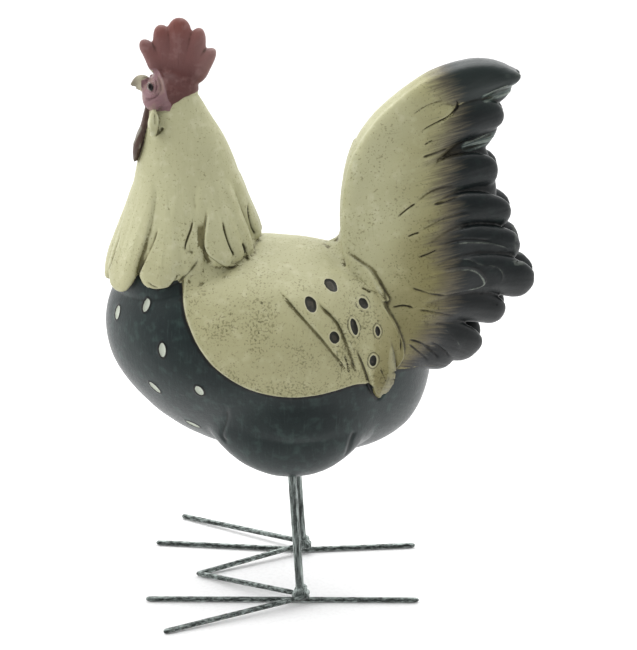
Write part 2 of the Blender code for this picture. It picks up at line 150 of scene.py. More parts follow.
def coats(tree, under, *layers):
    """Brush on one coat after the other."""
    for layer in layers:
        under = coat(tree, under, *layer)
    return under


def new_material(name):
    made = bpy.data.materials.new(name)
    made.use_nodes = True
    tree = made.node_tree
    return made, tree, tree.nodes["Principled BSDF"]


def feed(tree, shader, sockets):
    for name, value in sockets.items():
        tree.links.new(value, shader.inputs[name])


# Tools for meshes.

def put(name, mesh):
    made = bpy.data.objects.new(name, mesh)
    scene.collection.objects.link(made)
    return made


def mesh_of(name, bm):
    mesh = bpy.data.meshes.new(name)
    bm.to_mesh(mesh)
    bm.free()
    return mesh


def applied(rough, name):
    """The mesh that an object's modifiers make. The object itself goes."""
    done = bpy.data.meshes.new_from_object(rough.evaluated_get(bpy.context.evaluated_depsgraph_get()))
    bpy.data.objects.remove(rough, do_unlink=True)
    done.name = name
    return done


def shade_round(mesh):
    mesh.polygons.foreach_set("use_smooth", [True] * len(mesh.polygons))


# Curves.

def ease(value, low=0, high=1):
    """0 below low, 1 above high, and a soft rise between them."""
    value = np.clip((value - low) / (high - low), 0, 1)
    return value * value * (3 - 2 * value)


def fade(value, low, high):
    return 1 - ease(value, low, high)


def bell(value, middle, width):
    return np.exp(-((value - middle) / width) ** 2)


def spread(values, t):
    """Read a smooth curve through evenly spaced values at places t from 0 to 1."""
    values = np.array(values, float)
    padded = np.concatenate([[2 * values[0] - values[1]], values, [2 * values[-1] - values[-2]]])
    place = np.clip(t, 0, 1) * (len(values) - 1)
    start = np.minimum(np.asarray(place).astype(int), len(values) - 2)
    f = place - start
    p0, p1, p2, p3 = (padded[start + k] for k in range(4))
    return p1 + 0.5 * f * (p2 - p0 + f * (2 * p0 - 5 * p1 + 4 * p2 - p3 + f * (3 * (p1 - p2) + p3 - p0)))


def spread_points(path, t):
    return np.stack([spread([p[k] for p in path], t) for k in range(len(path[0]))], axis=-1)


def to_world(points):
    placed = np.array(points, float)
    placed[:, 1] += CASTING_SHIFT
    return placed / 1000


def closing(t, blunt):
    """How far a form has opened at t: 0 at both ends, 1 in the middle, fuller where it is blunter."""
    u = 1 - 2 * t
    power = np.where(u > 0, blunt[0], blunt[1])
    return np.sqrt(np.clip(1 - np.abs(u) ** power, 0, 1))


def directions(path, t, facing, lean, level):
    """At places t of a path: the way across a form and the way out of it."""
    ahead = spread_points(path, np.minimum(t + 0.01, 1)) - spread_points(path, np.maximum(t - 0.01, 0))
    if level:
        ahead[:] = (0, 0, 1)
    ahead /= np.linalg.norm(ahead, axis=1)[:, None]
    across = np.cross(np.array(facing, float), ahead)
    across /= np.linalg.norm(across, axis=1)[:, None]
    outward = np.cross(ahead, across)
    turn = math.radians(lean)
    return (across * math.cos(turn) + outward * math.sin(turn),
            outward * math.cos(turn) - across * math.sin(turn))


balls = {}


def ball_of(rings, sides):
    """A ball of radius 1 with so many rings and sides, made once and used for each form."""
    if (rings, sides) not in balls:
        bm = bmesh.new()
        bmesh.ops.create_uvsphere(bm, u_segments=sides, v_segments=rings, radius=1)
        balls[rings, sides] = mesh_of("ball", bm)
    return balls[rings, sides]


def form(bm, path, wide, deep, blunt=(2, 2), facing=(0, 1, 0), lean=0, level=False, rings=44, sides=36):
    """Draw a ball out along a path, with half sizes across it and along facing."""
    before = len(bm.verts)
    bm.from_mesh(ball_of(rings, sides))
    bm.verts.ensure_lookup_table()
    ball = bm.verts[before:]
    unit = np.array([v.co for v in ball])
    t = (1 - unit[:, 2]) / 2
    around = np.maximum(np.hypot(unit[:, 0], unit[:, 1]), 1e-9)
    across, outward = directions(path, t, facing, lean, level)
    size = closing(t, blunt)
    size[around < 1e-6] = 0
    places = spread_points(path, t) + (unit[:, 0] / around * spread(wide, t) * size)[:, None] * across
    places += (unit[:, 1] / around * spread(deep, t) * size)[:, None] * outward
    for vertex, place in zip(ball, to_world(places)):
        vertex.co = place


def both_sides(bm, path, wide, deep, facing=LEFTWARD, lean=0, **shape):
    form(bm, path, wide, deep, facing=facing, lean=lean, **shape)
    mirrored = [(x, -y, z) for x, y, z in path]
    form(bm, mirrored, wide, deep, facing=(facing[0], -facing[1], facing[2]), lean=-lean, **shape)


# The casting's forms. Left-hand ones are mirrored to the right.

TORSO_PATH = [(-8.5, 0, 82), (-20, 0, 116), (-28, 0, 148), (-29.5, 0, 180), (-38, 0, 212)]
TORSO_LONG = [95, 90, 93, 97.5, 102]
TORSO_BROAD = [50, 55, 59, 57, 50]
TORSO_BLUNT = (2.3, 2.7)
THIGHS = ([(-15.5, -34, 79), (-17.5, -27, 122), (-20, -18, 165)], [46.5, 49, 40], [25, 24, 14])
BELLY = ([(-13, 0, 82.5), (-16, 0, 120), (-20, 0, 159)], [56, 62, 56], [52, 56, 55])

NECK_PATH = [(-82, 0, 306), (-79.8, 0, 286), (-75.8, 0, 266), (-74.2, 0, 246),
             (-74.2, 0, 226), (-73.6, 0, 206), (-73.2, 0, 186), (-70, 0, 166)]
NECK_LONG = [14, 19, 25.2, 30.3, 35.2, 42, 46.8, 46]
NECK_BROAD = [11, 14, 19, 25, 30, 36, 40, 41]

# Hackle feathers: azimuth at root and tip, height of the tip, half width, lift of the tip.
HACKLE = [(3, 5, 188, 9, 1.0), (29, 33, 186.5, 16.5, 1.2), (63, 69, 193, 13.5, 1.2),
          (85, 90, 200, 12, -0.6), (111, 118, 205, 8.5, 1.8), (125, 132, 206, 7, 1.6),
          (138, 145, 207.5, 6.5, 1.2), (166, 172, 213, 8, 0.6)]
HACKLE_ROOT = 262
HACKLE_ROOT_LIFT = -5.5

# The head, with half sizes along X or Z and along Y.
SKULL = ([(-98.6, 0, 298), (-92, 0, 296.5), (-82, 0, 297.5), (-67, 0, 300)],
         [9, 12, 13, 11.5], [9, 12.5, 13, 10])
UPPER_BEAK = ([(-94, 0, 301.5), (-100, 0, 302.2), (-105.4, 0, 300)], [4.6, 3.6, 1.3], [4.8, 3.4, 1.4])
LOWER_BEAK = ([(-94, 0, 298.3), (-98, 0, 298.6), (-102.6, 0, 298.3)], [2.4, 2.0, 1.2], [3.6, 2.6, 1.2])
EYE = ([(-95.4, -9.4, 301.2), (-93.4, -10.2, 301.6), (-91.4, -10.4, 301.4)], [2, 2.9, 2], [1.8, 2.2, 1.8])
CHEEK = ([(-97.4, -7.2, 292.4), (-92.6, -11.0, 290.8), (-85.8, -12.4, 293.6)], [1.8, 2.6, 2.0], [2, 2.4, 2])
WATTLE = ([(-95, -4, 291), (-97.3, -4.5, 279), (-101.5, -5.5, 267), (-103.6, -6, 257)],
          [2.6, 2.2, 2.6, 1.7], [3.5, 4.5, 5.5, 3.5])
EAR_LOBE = ([(-91.3, -12.5, 289), (-91.8, -15.5, 282), (-92.2, -17.5, 274.5)],
            [2.2, 2.8, 2.6], [2.6, 3.2, 3.0])
WATTLE_BLUNT, EAR_LOBE_BLUNT = (3, 3), (3, 3.5)

# Comb lobes: root and tip seen from the side, half widths.
COMB = [((-84, 307), (-98.8, 325.5), (7, 7, 4.8, 3.4)),
        ((-83, 301), (-87.8, 334.4), (8, 9, 6.2, 4.6)),
        ((-79, 301), (-77.0, 338.5), (8, 10, 8.0, 6.0)),
        ((-75, 301), (-65.6, 332.6), (8, 9, 6.2, 3.8)),
        ((-76, 303), (-57.4, 320.6), (8, 8.5, 5.8, 2.8))]
COMB_DEEP = [6, 5.5, 4.6, 3.8]

TAIL_CORE = [(14, 0, 160), (38, 0, 192), (56, 0, 222), (70, 0, 252), (82, 0, 282)]
TAIL_FEATHERS = [
    ([(24, -24, 190), (26, -17, 226), (36, -11, 262), (60, -8, 290), (87, -6, 303.5), (113, -4, 306.5)],
     [14, 15.5, 16.5, 14, 12, 6]),
    ([(28, -27, 190), (34, -19, 224), (50, -13.5, 255), (68, -8, 274.5), (87, -5.5, 283), (104, -3, 284)],
     [12, 13, 12, 11, 11, 9.5]),
    ([(30, -28, 190), (42, -22, 214), (56, -16, 235.5), (70, -10.5, 248), (86, -6.5, 252), (101, -3.5, 249)],
     [12, 12, 12, 12, 12, 11]),
    ([(32, -30, 186), (46, -24, 206), (62, -18, 221.5), (78, -11.5, 230), (94, -7.5, 230), (108, -4, 223.5)],
     [12, 12, 12, 11, 11, 10.5]),
    ([(34, -31, 180), (50, -26, 195), (68, -19, 207.5), (85, -12.5, 212), (101, -8, 210.5),
      (115, -4.5, 204.5)],
     [12, 12, 12, 11, 11, 10]),
    ([(36, -31, 176), (54, -27, 186), (72, -21, 192.5), (90, -14, 194), (106, -8.5, 191.5),
      (122, -4.5, 183.5)],
     [12, 12, 13, 13, 13, 12]),
    ([(34, -31, 170), (50, -27, 174), (66, -22, 176.5), (81, -15, 176), (95, -9, 172.5), (106, -5.5, 167)],
     [11, 11, 11, 10.5, 10, 9]),
    ([(32, -32, 165), (45, -29, 165), (56.5, -24.5, 163), (67.5, -18, 159.5), (80, -12, 152.5),
      (89.7, -7, 144)],
     [12, 11, 11, 12, 13, 12.5]),
    ([(30, -32, 161), (39, -30, 158), (48, -25.5, 154), (57.5, -19.5, 149.5), (68, -13, 145),
      (78, -8, 141.7)],
     [10, 10, 10, 10, 9.5, 8]),
]
TAIL_DEEP = [9, 8, 7, 6, 5.5, 4]
TAIL_LEAN = 12
TAIL_FRONT = ([(24, 0, 190), (26, 0, 226), (36, 0, 262), (60, 0, 290), (87, 0, 303.5), (112, 0, 306.5)],
              [14.5, 16, 17, 14.5, 12.4, 6], [32, 24, 17, 13, 10.5, 6])
TAIL_WEBS = [[(80, 0, 288), (94, 0, 295), (108, 0, 302)], [(76, 0, 262), (88, 0, 270), (100, 0, 280)]]
TAIL_TONGUE = ([(40, -13.5, 267), (55, -13, 279.5), (67, -11.5, 286), (75, -10.5, 290)], [3, 4.5, 4.6, 3.2],
               [4, 4, 3.6, 3])

WING_FEATHERS = [
    ([(16, 190, 8), (27, 171, 6), (33, 152, 3), (34.5, 130.5, 0)], [6, 7.5, 7.8, 4.5]),
    ([(4, 208, 5), (16, 203, 3), (28, 195, 1), (38, 183, 0)], [5, 6.5, 6, 3]),
]
WING_DEEP = [3, 4.5, 4.8, 3.6]
WING_LEAN = -8
# How blunt a feather's root and tip are: hackle and tail, and wing.
FEATHER_BLUNT, WING_BLUNT = (3, 9), (3, 5)
WING_PLATE = [(-75, 203), (-75.5, 190), (-74, 180), (-69, 168), (-63, 158.5), (-56, 151), (-47, 144.5),
              (-37, 139.5), (-26, 136.5), (-14, 135), (-2, 135.5), (9, 137.5), (20, 140), (31, 140),
              (42, 144), (48, 151), (48.4, 159), (46.3, 166), (43.4, 173), (38.5, 182), (36, 192),
              (28, 206), (10, 219), (-30, 224), (-62, 218)]
# The long wing feather that lies over the plate, seen from the left.
LONG_FEATHER = [(19, 166), (21.5, 160), (24.9, 152.2), (26.8, 147.2), (29.4, 138.6), (32, 132.4),
                (33.8, 129.8), (34.8, 129.2), (36.9, 132), (39.6, 135.4), (41.2, 140.8), (41.3, 150.4),
                (40, 158.3), (38.4, 165.1), (34, 174), (24, 176)]
# The tip of the second hackle bundle, which lies over the shoulder.
SECOND_TIP = [(-100, 199.6), (-99.3, 197), (-97.5, 194.6), (-94, 193), (-90.2, 192.7), (-82.8, 194.4),
              (-78.6, 196.4), (-73, 201.8), (-68.9, 206.4), (-67, 210.5), (-68, 224), (-90, 226), (-96, 210)]


def torso_side(x, z):
    low, high = TORSO_PATH[0][2], TORSO_PATH[-1][2]
    t = np.clip((z - low) / (high - low), 0.01, 0.99)
    size = closing(np.array(t), TORSO_BLUNT)
    along = (x - spread([p[0] for p in TORSO_PATH], t)) / (spread(TORSO_LONG, t) * size)
    return float(spread(TORSO_BROAD, t) * size * np.sqrt(max(1 - along * along, 0.05)))


def neck_point(azimuth, height, lift):
    """A place on the neck: azimuth 0 is its front, 90 its left side, 180 its back."""
    t = (NECK_PATH[0][2] - height) / (NECK_PATH[0][2] - NECK_PATH[-1][2])
    turn = math.radians(azimuth)
    middle = spread([p[0] for p in NECK_PATH], t)
    return (middle - (spread(NECK_LONG, t) + lift) * math.cos(turn),
            -(spread(NECK_BROAD, t) + lift) * math.sin(turn), height)


def hackle_feathers():
    """Each hackle feather of the left side as path, half widths, half depths and facing."""
    feathers = []
    for root, tip, low, width, lift in HACKLE:
        path = [neck_point(root + (tip - root) * s, HACKLE_ROOT + (low - HACKLE_ROOT) * s,
                           HACKLE_ROOT_LIFT + (lift - HACKLE_ROOT_LIFT) * s) for s in np.linspace(0, 1, 6)]
        turn = math.radians((root + tip) / 2)
        feathers.append((path, [width * s for s in (0.5, 0.75, 0.95, 1.05, 1.0, 0.8)],
                         [3.5, 4, 4.3, 4.5, 4.5, 3.5], (-math.cos(turn), -math.sin(turn), 0)))
    return feathers


def wing_feathers():
    return [([(x, -torso_side(x, z) + sunk, z) for x, z, sunk in places], wide)
            for places, wide in WING_FEATHERS]


def body_forms(bm):
    form(bm, TORSO_PATH, TORSO_LONG, TORSO_BROAD, blunt=TORSO_BLUNT, level=True, rings=110, sides=160)
    form(bm, *BELLY, blunt=(2.6, 2), level=True, rings=80, sides=120)
    both_sides(bm, *THIGHS, facing=(0, 1, 0), level=True, rings=80, sides=100)
    form(bm, NECK_PATH, NECK_LONG, NECK_BROAD, blunt=(6, 8), level=True, rings=96, sides=120)
    for path, wide, deep, facing in hackle_feathers():
        both_sides(bm, path, wide, deep, blunt=FEATHER_BLUNT, facing=facing)
    for path, wide in wing_feathers():
        both_sides(bm, path, wide, WING_DEEP, blunt=WING_BLUNT, lean=WING_LEAN)


def head_forms(bm):
    form(bm, *SKULL, blunt=(2.4, 2.4))
    form(bm, *UPPER_BEAK)
    form(bm, *LOWER_BEAK)
    for root, tip, widths in COMB:
        middle = ((root[0] + tip[0]) / 2, (root[1] + tip[1]) / 2)
        form(bm, [(x, 0, z) for x, z in (root, middle, tip)], widths, COMB_DEEP, blunt=(3, 6))
    both_sides(bm, *WATTLE, blunt=WATTLE_BLUNT)
    both_sides(bm, *EAR_LOBE, blunt=EAR_LOBE_BLUNT)
    for small in (EYE, CHEEK):
        both_sides(bm, *small, rings=32, sides=32)


def tail_forms(bm):
    form(bm, TAIL_CORE, [30, 36, 40, 36, 20], [42, 31, 19, 11, 6], blunt=(2.5, 3), rings=90, sides=90)
    form(bm, *TAIL_FRONT, blunt=FEATHER_BLUNT, rings=90, sides=60)
    for path, wide in TAIL_FEATHERS:
        both_sides(bm, path, wide, TAIL_DEEP, blunt=FEATHER_BLUNT, lean=TAIL_LEAN, rings=72)
    for path in TAIL_WEBS:
        form(bm, path, [7, 8, 5], [5, 5, 4], blunt=(3, 4))
    both_sides(bm, *TAIL_TONGUE, blunt=WING_BLUNT, lean=TAIL_LEAN)


# Lines cut or modelled into the left side of the casting, in drawn millimetres. A line is read in so
# many steps a run, works within its reach, and only on skin that is no further than this above or
# below it; other skin counts as so much further away.
STEPS_A_RUN = 5
STEP_REACH, CUT_REACH, RIDGE_REACH = 26, 6, 5
OTHER_SKIN, ELSEWHERE = 9, 50

# Steps: line, height and how far it runs out, in mm. A step is raised on the left hand of someone who
# follows it from its first point, seen from outside.
STEPS = [
    # Hackle: second lobe, and the thick bundle with its lip.
    ([(-88.3, -30.2, 226.8), (-90.6, -32.1, 220), (-93.7, -33.8, 212.7), (-96.9, -34.4, 205.3),
      (-100.1, -31.7, 197.4)], 0.8, 6),
    ([(-61.7, -26.1, 240.7), (-61.8, -29.2, 232.9), (-62.6, -32.2, 225.1), (-63.2, -34.4, 217),
      (-61.2, -35.1, 212.3), (-57.3, -35.9, 209), (-52.1, -33.5, 205.4), (-48, -30.6, 203.4),
      (-44.8, -28.7, 204.9)], 1.6, 8),
    # Wing: the two long feathers that overlap the plate.
    ([(-21, -47, 196), (-15.2, -50.7, 189.7), (-10.2, -53.8, 184.6), (-1.9, -57.1, 176.1), (6.5, -58.3, 166),
      (13.2, -57.8, 157), (17.2, -57.3, 150.5)], 1.6, 9),
    ([(-0.8, -47.6, 190.4), (4.2, -50.2, 185.5), (8.9, -51.7, 181.3), (12.5, -52.9, 176.5),
      (16.2, -54.7, 168.3), (18.7, -54.9, 161.3), (20.4, -54.6, 154.8), (22.4, -53.8, 147.8)], 1.6, 9),
    # The covert feather's edge, over the root of the tail.
    ([(34.6, -35.7, 187.4), (37.1, -35, 184.4), (40.2, -34.2, 185.4), (37.4, -33.5, 190.2),
      (33.2, -32.5, 196.3), (28.7, -29.9, 201.7), (22, -26.5, 206), (16, -20, 210)], 1.3, 6),
    # Tail: the short rounded feather low in the middle.
    ([(62, -31.5, 187.6), (74, -26, 185.8), (85.8, -20.3, 186.2), (90.6, -18.3, 187), (94.3, -17.3, 189),
      (94.6, -18.1, 192.5), (90.7, -20.6, 198), (83.6, -23.4, 200.6), (73.1, -27.2, 200.4), (66, -29, 198.5)],
     0.9, 5),
]

# Narrow cuts: line, depth, half width, and how dark the wash in them is.
CUTS = [
    ([(-110.6, -13.5, 220.7), (-114.2, -15.5, 210), (-117.1, -16, 201.3), (-120, -9.5, 192)], 0.7, 0.8, 0.5),
    ([(-69.1, -29.9, 231.4), (-70.9, -32.4, 225.1), (-73.4, -35.2, 218.4), (-74.1, -36.9, 213.4)],
     1.0, 0.6, 0.9),
    ([(-73.9, -37, 212.9), (-71.7, -36.5, 213.8), (-68.9, -36.9, 212.5)], 0.7, 1.4, 0.4),
    ([(-53.6, -26.7, 229.9), (-51.9, -29.5, 222.6), (-49.4, -31.2, 215.5), (-46.7, -30.6, 208.6)],
     1.1, 0.6, 1.0),
    ([(-42.3, -25.2, 216.1), (-40.7, -24.9, 211.3), (-38.7, -26.3, 205.3)], 1.1, 0.8, 1.0),
    ([(-39.8, -6.8, 235.4), (-39.1, -11.1, 227.8), (-37.4, -11.7, 220.4), (-35, -9.5, 215.3)], 1.1, 0.9, 0.9),
    ([(-94.3, -37.1, 196.8), (-91.5, -38.5, 195), (-88.3, -39.3, 194.5)], 0.7, 0.6, 1.0),
    # Wing: a gash, the middle of the long feather, a thick cut and the rear edge inside its rim.
    ([(15.2, -55.8, 159), (16.9, -55.8, 154.6), (18.6, -56.4, 148.3)], 1.0, 0.6, 0.9),
    ([(34.7, -48.8, 151), (36.7, -48.5, 145.5), (38.8, -41.5, 137)], 0.8, 0.6, 0.8),
    ([(24.4, -34.5, 193), (27.4, -34.8, 191.2), (30, -35, 189.6)], 0.9, 0.9, 0.6),
    ([(34.4, -35.8, 187.5), (38.3, -37.2, 180.8), (42.8, -38.7, 172.4), (45.4, -38, 166.3),
      (46.4, -38.3, 161.6),
      (46.2, -38.7, 155)], 1.0, 0.6, 0.9),
    # Tail, from the top down.
    ([(51.6, -15.3, 286.4), (57.6, -14.4, 290.5), (63.7, -13.6, 293.4), (70.4, -12.7, 294.8)], 0.6, 0.5, 0.6),
    ([(75.7, -11.8, 295.6), (77.6, -10.6, 292.4), (76.9, -10.8, 289.5), (73.3, -11.7, 287),
      (67.5, -12.5, 283.8),
      (61.1, -13.4, 280.3), (54.3, -14.6, 275.6)], 0.9, 0.5, 1.0),
    ([(57.3, -18, 262.8), (62.4, -15.7, 264.2), (67.7, -13.4, 265.4), (73.8, -9.2, 266.6)], 1.0, 0.9, 0.8),
    ([(59, -16.7, 270), (61.5, -16, 271.4), (64, -15.2, 272.7)], 0.7, 0.5, 0.8),
    ([(43.9, -25.4, 230.4), (49.7, -24.3, 235.1), (55.1, -22.9, 238.5)], 1.0, 0.6, 0.9),
    ([(53, -23.4, 237.5), (62.6, -20, 243.7), (70.5, -16.7, 245.7), (78.5, -13, 245.4)], 0.8, 1.3, 0.35),
    ([(63.7, -20.1, 236.5), (71, -17.5, 237.7), (79.6, -14.4, 240.3)], 0.7, 0.6, 0.7),
    ([(49.4, -27.7, 219.8), (53.2, -27.2, 221.4), (57.4, -26.3, 222.6)], 0.9, 0.55, 0.9),
    ([(55, -26.8, 222), (66.4, -24.3, 227.3), (75.6, -21, 230.4), (87.3, -18, 231.6)], 0.7, 1.1, 0.3),
    ([(55.5, -29.1, 208.2), (59.4, -28.4, 209.5), (63.8, -27.1, 211), (67.3, -25.7, 212.6)], 0.9, 0.55, 0.9),
    ([(66, -25.8, 213), (77, -22, 216), (88, -18, 215.8), (99, -15, 213.4)], 0.6, 0.9, 0.4),
    ([(52, -34, 192.5), (56.5, -33.3, 190.6), (64.6, -31, 187.6), (72.8, -26.2, 185)], 0.7, 0.7, 0.7),
    ([(40.6, -34.6, 180.5), (48, -34.7, 181.8), (54.4, -32.9, 180)], 0.8, 0.6, 0.9),
    ([(54, -33, 179.6), (64, -30.2, 176.9), (71, -27, 174.5), (81.3, -21.9, 169.6)], 0.7, 0.7, 0.6),
    ([(49.7, -34.4, 162.1), (57.8, -29.8, 158.2), (64.4, -23.1, 151.7), (69.2, -18.8, 145.1)], 0.9, 0.8, 0.9),
    ([(50.4, -32.5, 159.4), (54.6, -30.5, 155), (58.6, -26.6, 150.4), (63.4, -21.3, 144.4)], 0.8, 0.7, 0.9),
    ([(62.4, -27.7, 158.7), (69.6, -20.4, 152), (75.6, -15.1, 145.3)], 0.7, 0.7, 0.7),
    # Thighs, softly.
    ([(-50.8, -52.2, 128.6), (-51.2, -46.1, 117.3), (-54.1, -42.8, 106.4), (-50.4, -44.2, 102.6)],
     0.7, 1.4, 0.4),
    ([(21.2, -43.6, 110.6), (18.4, -43.6, 103.3), (15.6, -39.8, 93.2)], 0.7, 1.4, 0.4),
    # Ear lobe: the groove down its middle, and the hollow behind and below it, darkened as painted shadow
    # under the lobe.
    ([(-90.8, -15.3, 288), (-90.6, -17, 284.7), (-90.8, -18.2, 281)], 0.7, 0.5, 0.45),
    ([(-86.8, -14.4, 280), (-87.6, -14.5, 278), (-89.5, -14.9, 276.2), (-92.4, -13, 273.8)], 1.0, 1.3, 0.6),
    # Face: round the eye, the fold under it, and the line over the brow.
    ([(-90.4, -8.4, 305.8), (-89.8, -10.4, 303.6), (-89.7, -12, 301.2),
      (-90.6, -12.8, 298.8)], 0.4, 0.4, 0.25),
    ([(-89.6, -6.6, 307.6), (-87.8, -10.6, 304.1), (-87.2, -12.2, 301.2), (-87.6, -12.7, 298.4)],
     0.6, 0.6, 0.35),
    ([(-97.4, -6.5, 294.9), (-94.6, -10, 294.2), (-91.8, -12.1, 295.2), (-89.5, -12.8, 296.8),
      (-87.5, -12.7, 299.4)], 0.8, 0.6, 0.5),
    ([(-98, -2, 303.8), (-96, -2.4, 305.2), (-93.8, -3.6, 306.6)], 0.4, 0.4, 0.4),
    # The line under the cheek.
    ([(-94.6, -9.6, 287.6), (-91, -12.2, 287.6), (-86, -13.6, 288.2), (-82.2, -13.6, 288.6)], 0.4, 0.6, 0.35),
]

# Narrow raised lines: line, height, half width, and how pale they are rubbed.
RIDGES = [
    # Face: the two lids, the ridge behind the eye, the cere and the brow.
    ([(-92.2, -7.2, 305.6), (-90.8, -9.8, 304.2), (-90.6, -11.9, 301.2), (-91.8, -13.2, 298.4),
      (-95.2, -12.4, 297.9)], 0.5, 0.45, 0.5),
    ([(-89.9, -8.4, 306), (-88.7, -11.3, 302.7), (-88.8, -12.4, 299.6)], 0.35, 0.4, 0.4),
    ([(-90.1, -4.9, 311.5), (-88.2, -6.4, 308.2), (-86.3, -10.2, 304.7), (-85.3, -12.1, 301.8),
      (-84.4, -12.7, 298.5), (-84, -12.5, 295)], 0.8, 0.9, 0.4),
    ([(-98.6, -3.4, 303.1), (-99, -3.5, 301.5), (-99, -3.4, 299.7), (-98.2, -4.2, 297.5), (-97, -6.4, 295.9)],
     0.4, 0.45, 0.6),
    ([(-97.4, -3.2, 303.2), (-95.6, -3.6, 304.3), (-93.4, -4.6, 305.4), (-91.6, -6.6, 305.6)], 0.5, 0.5, 0.5),
    # A lobe of the wattle, and the strips of the ear lobe.
    ([(-98.1, -7.6, 279.6), (-100.1, -8.4, 275.2), (-102.3, -8.4, 270.6),
      (-103.8, -7.6, 265.7)], 0.5, 1.1, 1.2),
    ([(-92.4, -14.4, 288), (-92.6, -16.4, 283), (-93, -18, 277)], 0.2, 0.7, 0.6),
    ([(-89.4, -14, 287.6), (-89.2, -15.6, 283.4), (-89.8, -16.6, 280)], 0.4, 0.7, 0.9),
    # Pale lips round the tips of the two front hackle bundles.
    ([(-99, -32.6, 197), (-96.9, -34.4, 194.5), (-93.4, -36.5, 193)], 0.6, 0.6, 0.6),
    # Tail: rubbed edges of the dark feathers.
    ([(90.6, -8.5, 296), (93.9, -7.8, 297.1), (100, -7.6, 300.1), (108.9, -6.2, 303.4)], 0.5, 0.5, 1.2),
    ([(80.1, -6, 267.3), (85.1, -5.1, 269.3), (90.7, -5, 271.6), (97.7, -3.8, 275.1)], 0.5, 0.5, 1.2),
    ([(69.6, -24.7, 214.1), (80.6, -20.8, 214.5), (89.6, -17.6, 214), (98.2, -14.9, 212.5),
      (104.6, -12.7, 210.2), (109, -10.8, 207.7)], 0.4, 0.6, 0.7),
    ([(74.8, -24.2, 205.1), (84.2, -21.2, 205), (92.4, -19.8, 201.4), (101.2, -16.8, 199.3),
      (104.8, -15.3, 193.9), (103.3, -14.2, 188.7)], 0.35, 0.6, 0.5),
    ([(74, -26.6, 199.6), (83.6, -23.4, 199.8), (89.8, -20.8, 197.2), (93.6, -18.3, 191.6),
      (93.2, -17.5, 188.8), (88, -19, 187.6), (80, -23, 186.8)], 0.2, 0.5, 0.7),
    ([(56.6, -32.3, 180.4), (63.2, -30.5, 178.6), (68.3, -28.5, 176.7)], 0.3, 0.5, 0.5),
    ([(57.8, -32.2, 177.6), (65.5, -29.6, 175.2), (73, -25.5, 172.8)], 0.3, 0.5, 0.5),
    ([(59.3, -31.1, 171.4), (66.8, -26.7, 167.9), (73.3, -23.2, 163.2), (79.3, -19.3, 155.9),
      (81.8, -16.1, 149.3)], 0.35, 0.7, 0.4),
]

# The same for forms: how many runs they are read in, and how far round them.
FORM_RUNS, FORM_REACH = 24, 14

# Painted dots: middle, half width, half height, tilt in degrees, and how far out a second ring lies.
WING_DOTS = [((7.3, -38, 194.8), 3.0, 4.6, 18, 0), ((-3.6, -49.8, 187.5), 2.8, 4.6, 15, 0),
             ((25.9, -42.3, 186.2), 2.3, 3.0, 20, 2.0), ((20.2, -49.9, 174.4), 1.9, 4.2, 6, 1.8),
             ((9.8, -56.4, 170.2), 2.6, 3.1, 20, 0), ((35, -48.4, 171.5), 1.3, 2.7, 0, 1.5),
             ((30.7, -49.9, 154.8), 2.1, 3.0, 0, 1.5)]
BREAST_DOTS = [((-114, -21.7, 173.2), 2.0, 4.0, 0), ((-96.4, -34, 181.5), 2.0, 3.8, -8),
               ((-87, -45.9, 159), 2.1, 4.1, 4), ((-92.3, -37.1, 133.7), 1.9, 4.2, 40),
               ((-66.4, -51.2, 136.6), 2.2, 3.2, 28), ((-71.5, -30.8, 109.2), 2.0, 4.4, 60)]
# The eye and its pupil lie further out than this; skin nearer to the middle isn't painted with them.
EYE_DOT, PUPIL_DOT = ((-93.5, -12.4, 301.7), 2.0, 2.7, 14), ((-92.8, -12.4, 301.6), 1.3, 2.1, 14)
EYE_SIDE = -9.5
# How far round a dot places are looked at, and how many of them say which way it faces.
DOT_REACH, DOT_NEIGHBOURS = 12, 60

# Pale scraped strips under the tips of the two top tail feathers.
SCUFFS = [[(93.6, -7, 295), (98.8, -5, 295.8), (104.6, -4, 297.8), (110, -4, 300.6)],
          [(83, -6, 266.4), (87.8, -5, 267), (93, -4, 268.8), (97.6, -3.4, 271.6)]]

# Where the tail's cream paint turns dark: height, and the place along X.
TAIL_EDGE = ([141, 147, 151, 158, 165, 172, 178, 186, 194, 202, 208, 217, 222, 228, 232, 238, 244, 250, 256,
              261, 267, 274, 280, 286, 292, 299, 305, 309],
             [46, 52.5, 60.2, 64.1, 66.9, 70.8, 75.2, 74, 77, 75, 72.5, 70.7, 74, 74.6, 76, 74.7, 71,
              72.7, 74, 74, 72.6, 75, 77.2, 77.1, 79, 74.4, 70.8, 68.5])
# Where the cream of the nape meets the red of the face: place along X, and height.
FACE_EDGE = ([-99, -94, -87.6, -82.6, -80.8, -77, -71.6, -66.8, -60],
             [287, 287, 287.8, 288, 291.4, 293.6, 296, 297.2, 299])
# Where the bare skin of the face ends behind: height, and the place along X.
FACE_BACK = ([288, 295, 299, 302, 305, 308, 312], [-80, -83.4, -84.2, -85.2, -86.3, -88, -90])

# How often the seams between forms are rubbed down.
RUBBINGS = 170
# Where the head is split finer, in metres: ahead of this place, and between these heights.
HEAD_BACK, HEAD_LOW, HEAD_HIGH = -0.079, 0.286, 0.313

# What the paint knows about each place, noted on the skin for the shader.
PAINTED = ("hollow", "wash", "rub", "scuff", "speckle", "dark_paint", "lip", "tail_paint", "red_paint",
           "face", "beak_paint", "wing_dot", "second_ring", "white_dot", "eye", "pupil", "stroke")


def mirrored_left(places, normals):
    """The right side folded over onto the left, where every line is drawn."""
    flip = np.where(places[:, 1] > 0, -1.0, 1.0)
    folded, facing = places.copy(), normals.copy()
    folded[:, 1] *= flip
    facing[:, 1] *= flip
    return folded, facing


def near_to(places, line, reach):
    """Which places lie within reach of the box round a line."""
    inside = (places > line.min(axis=0) - reach) & (places < line.max(axis=0) + reach)
    return np.nonzero(inside.all(axis=1))[0]


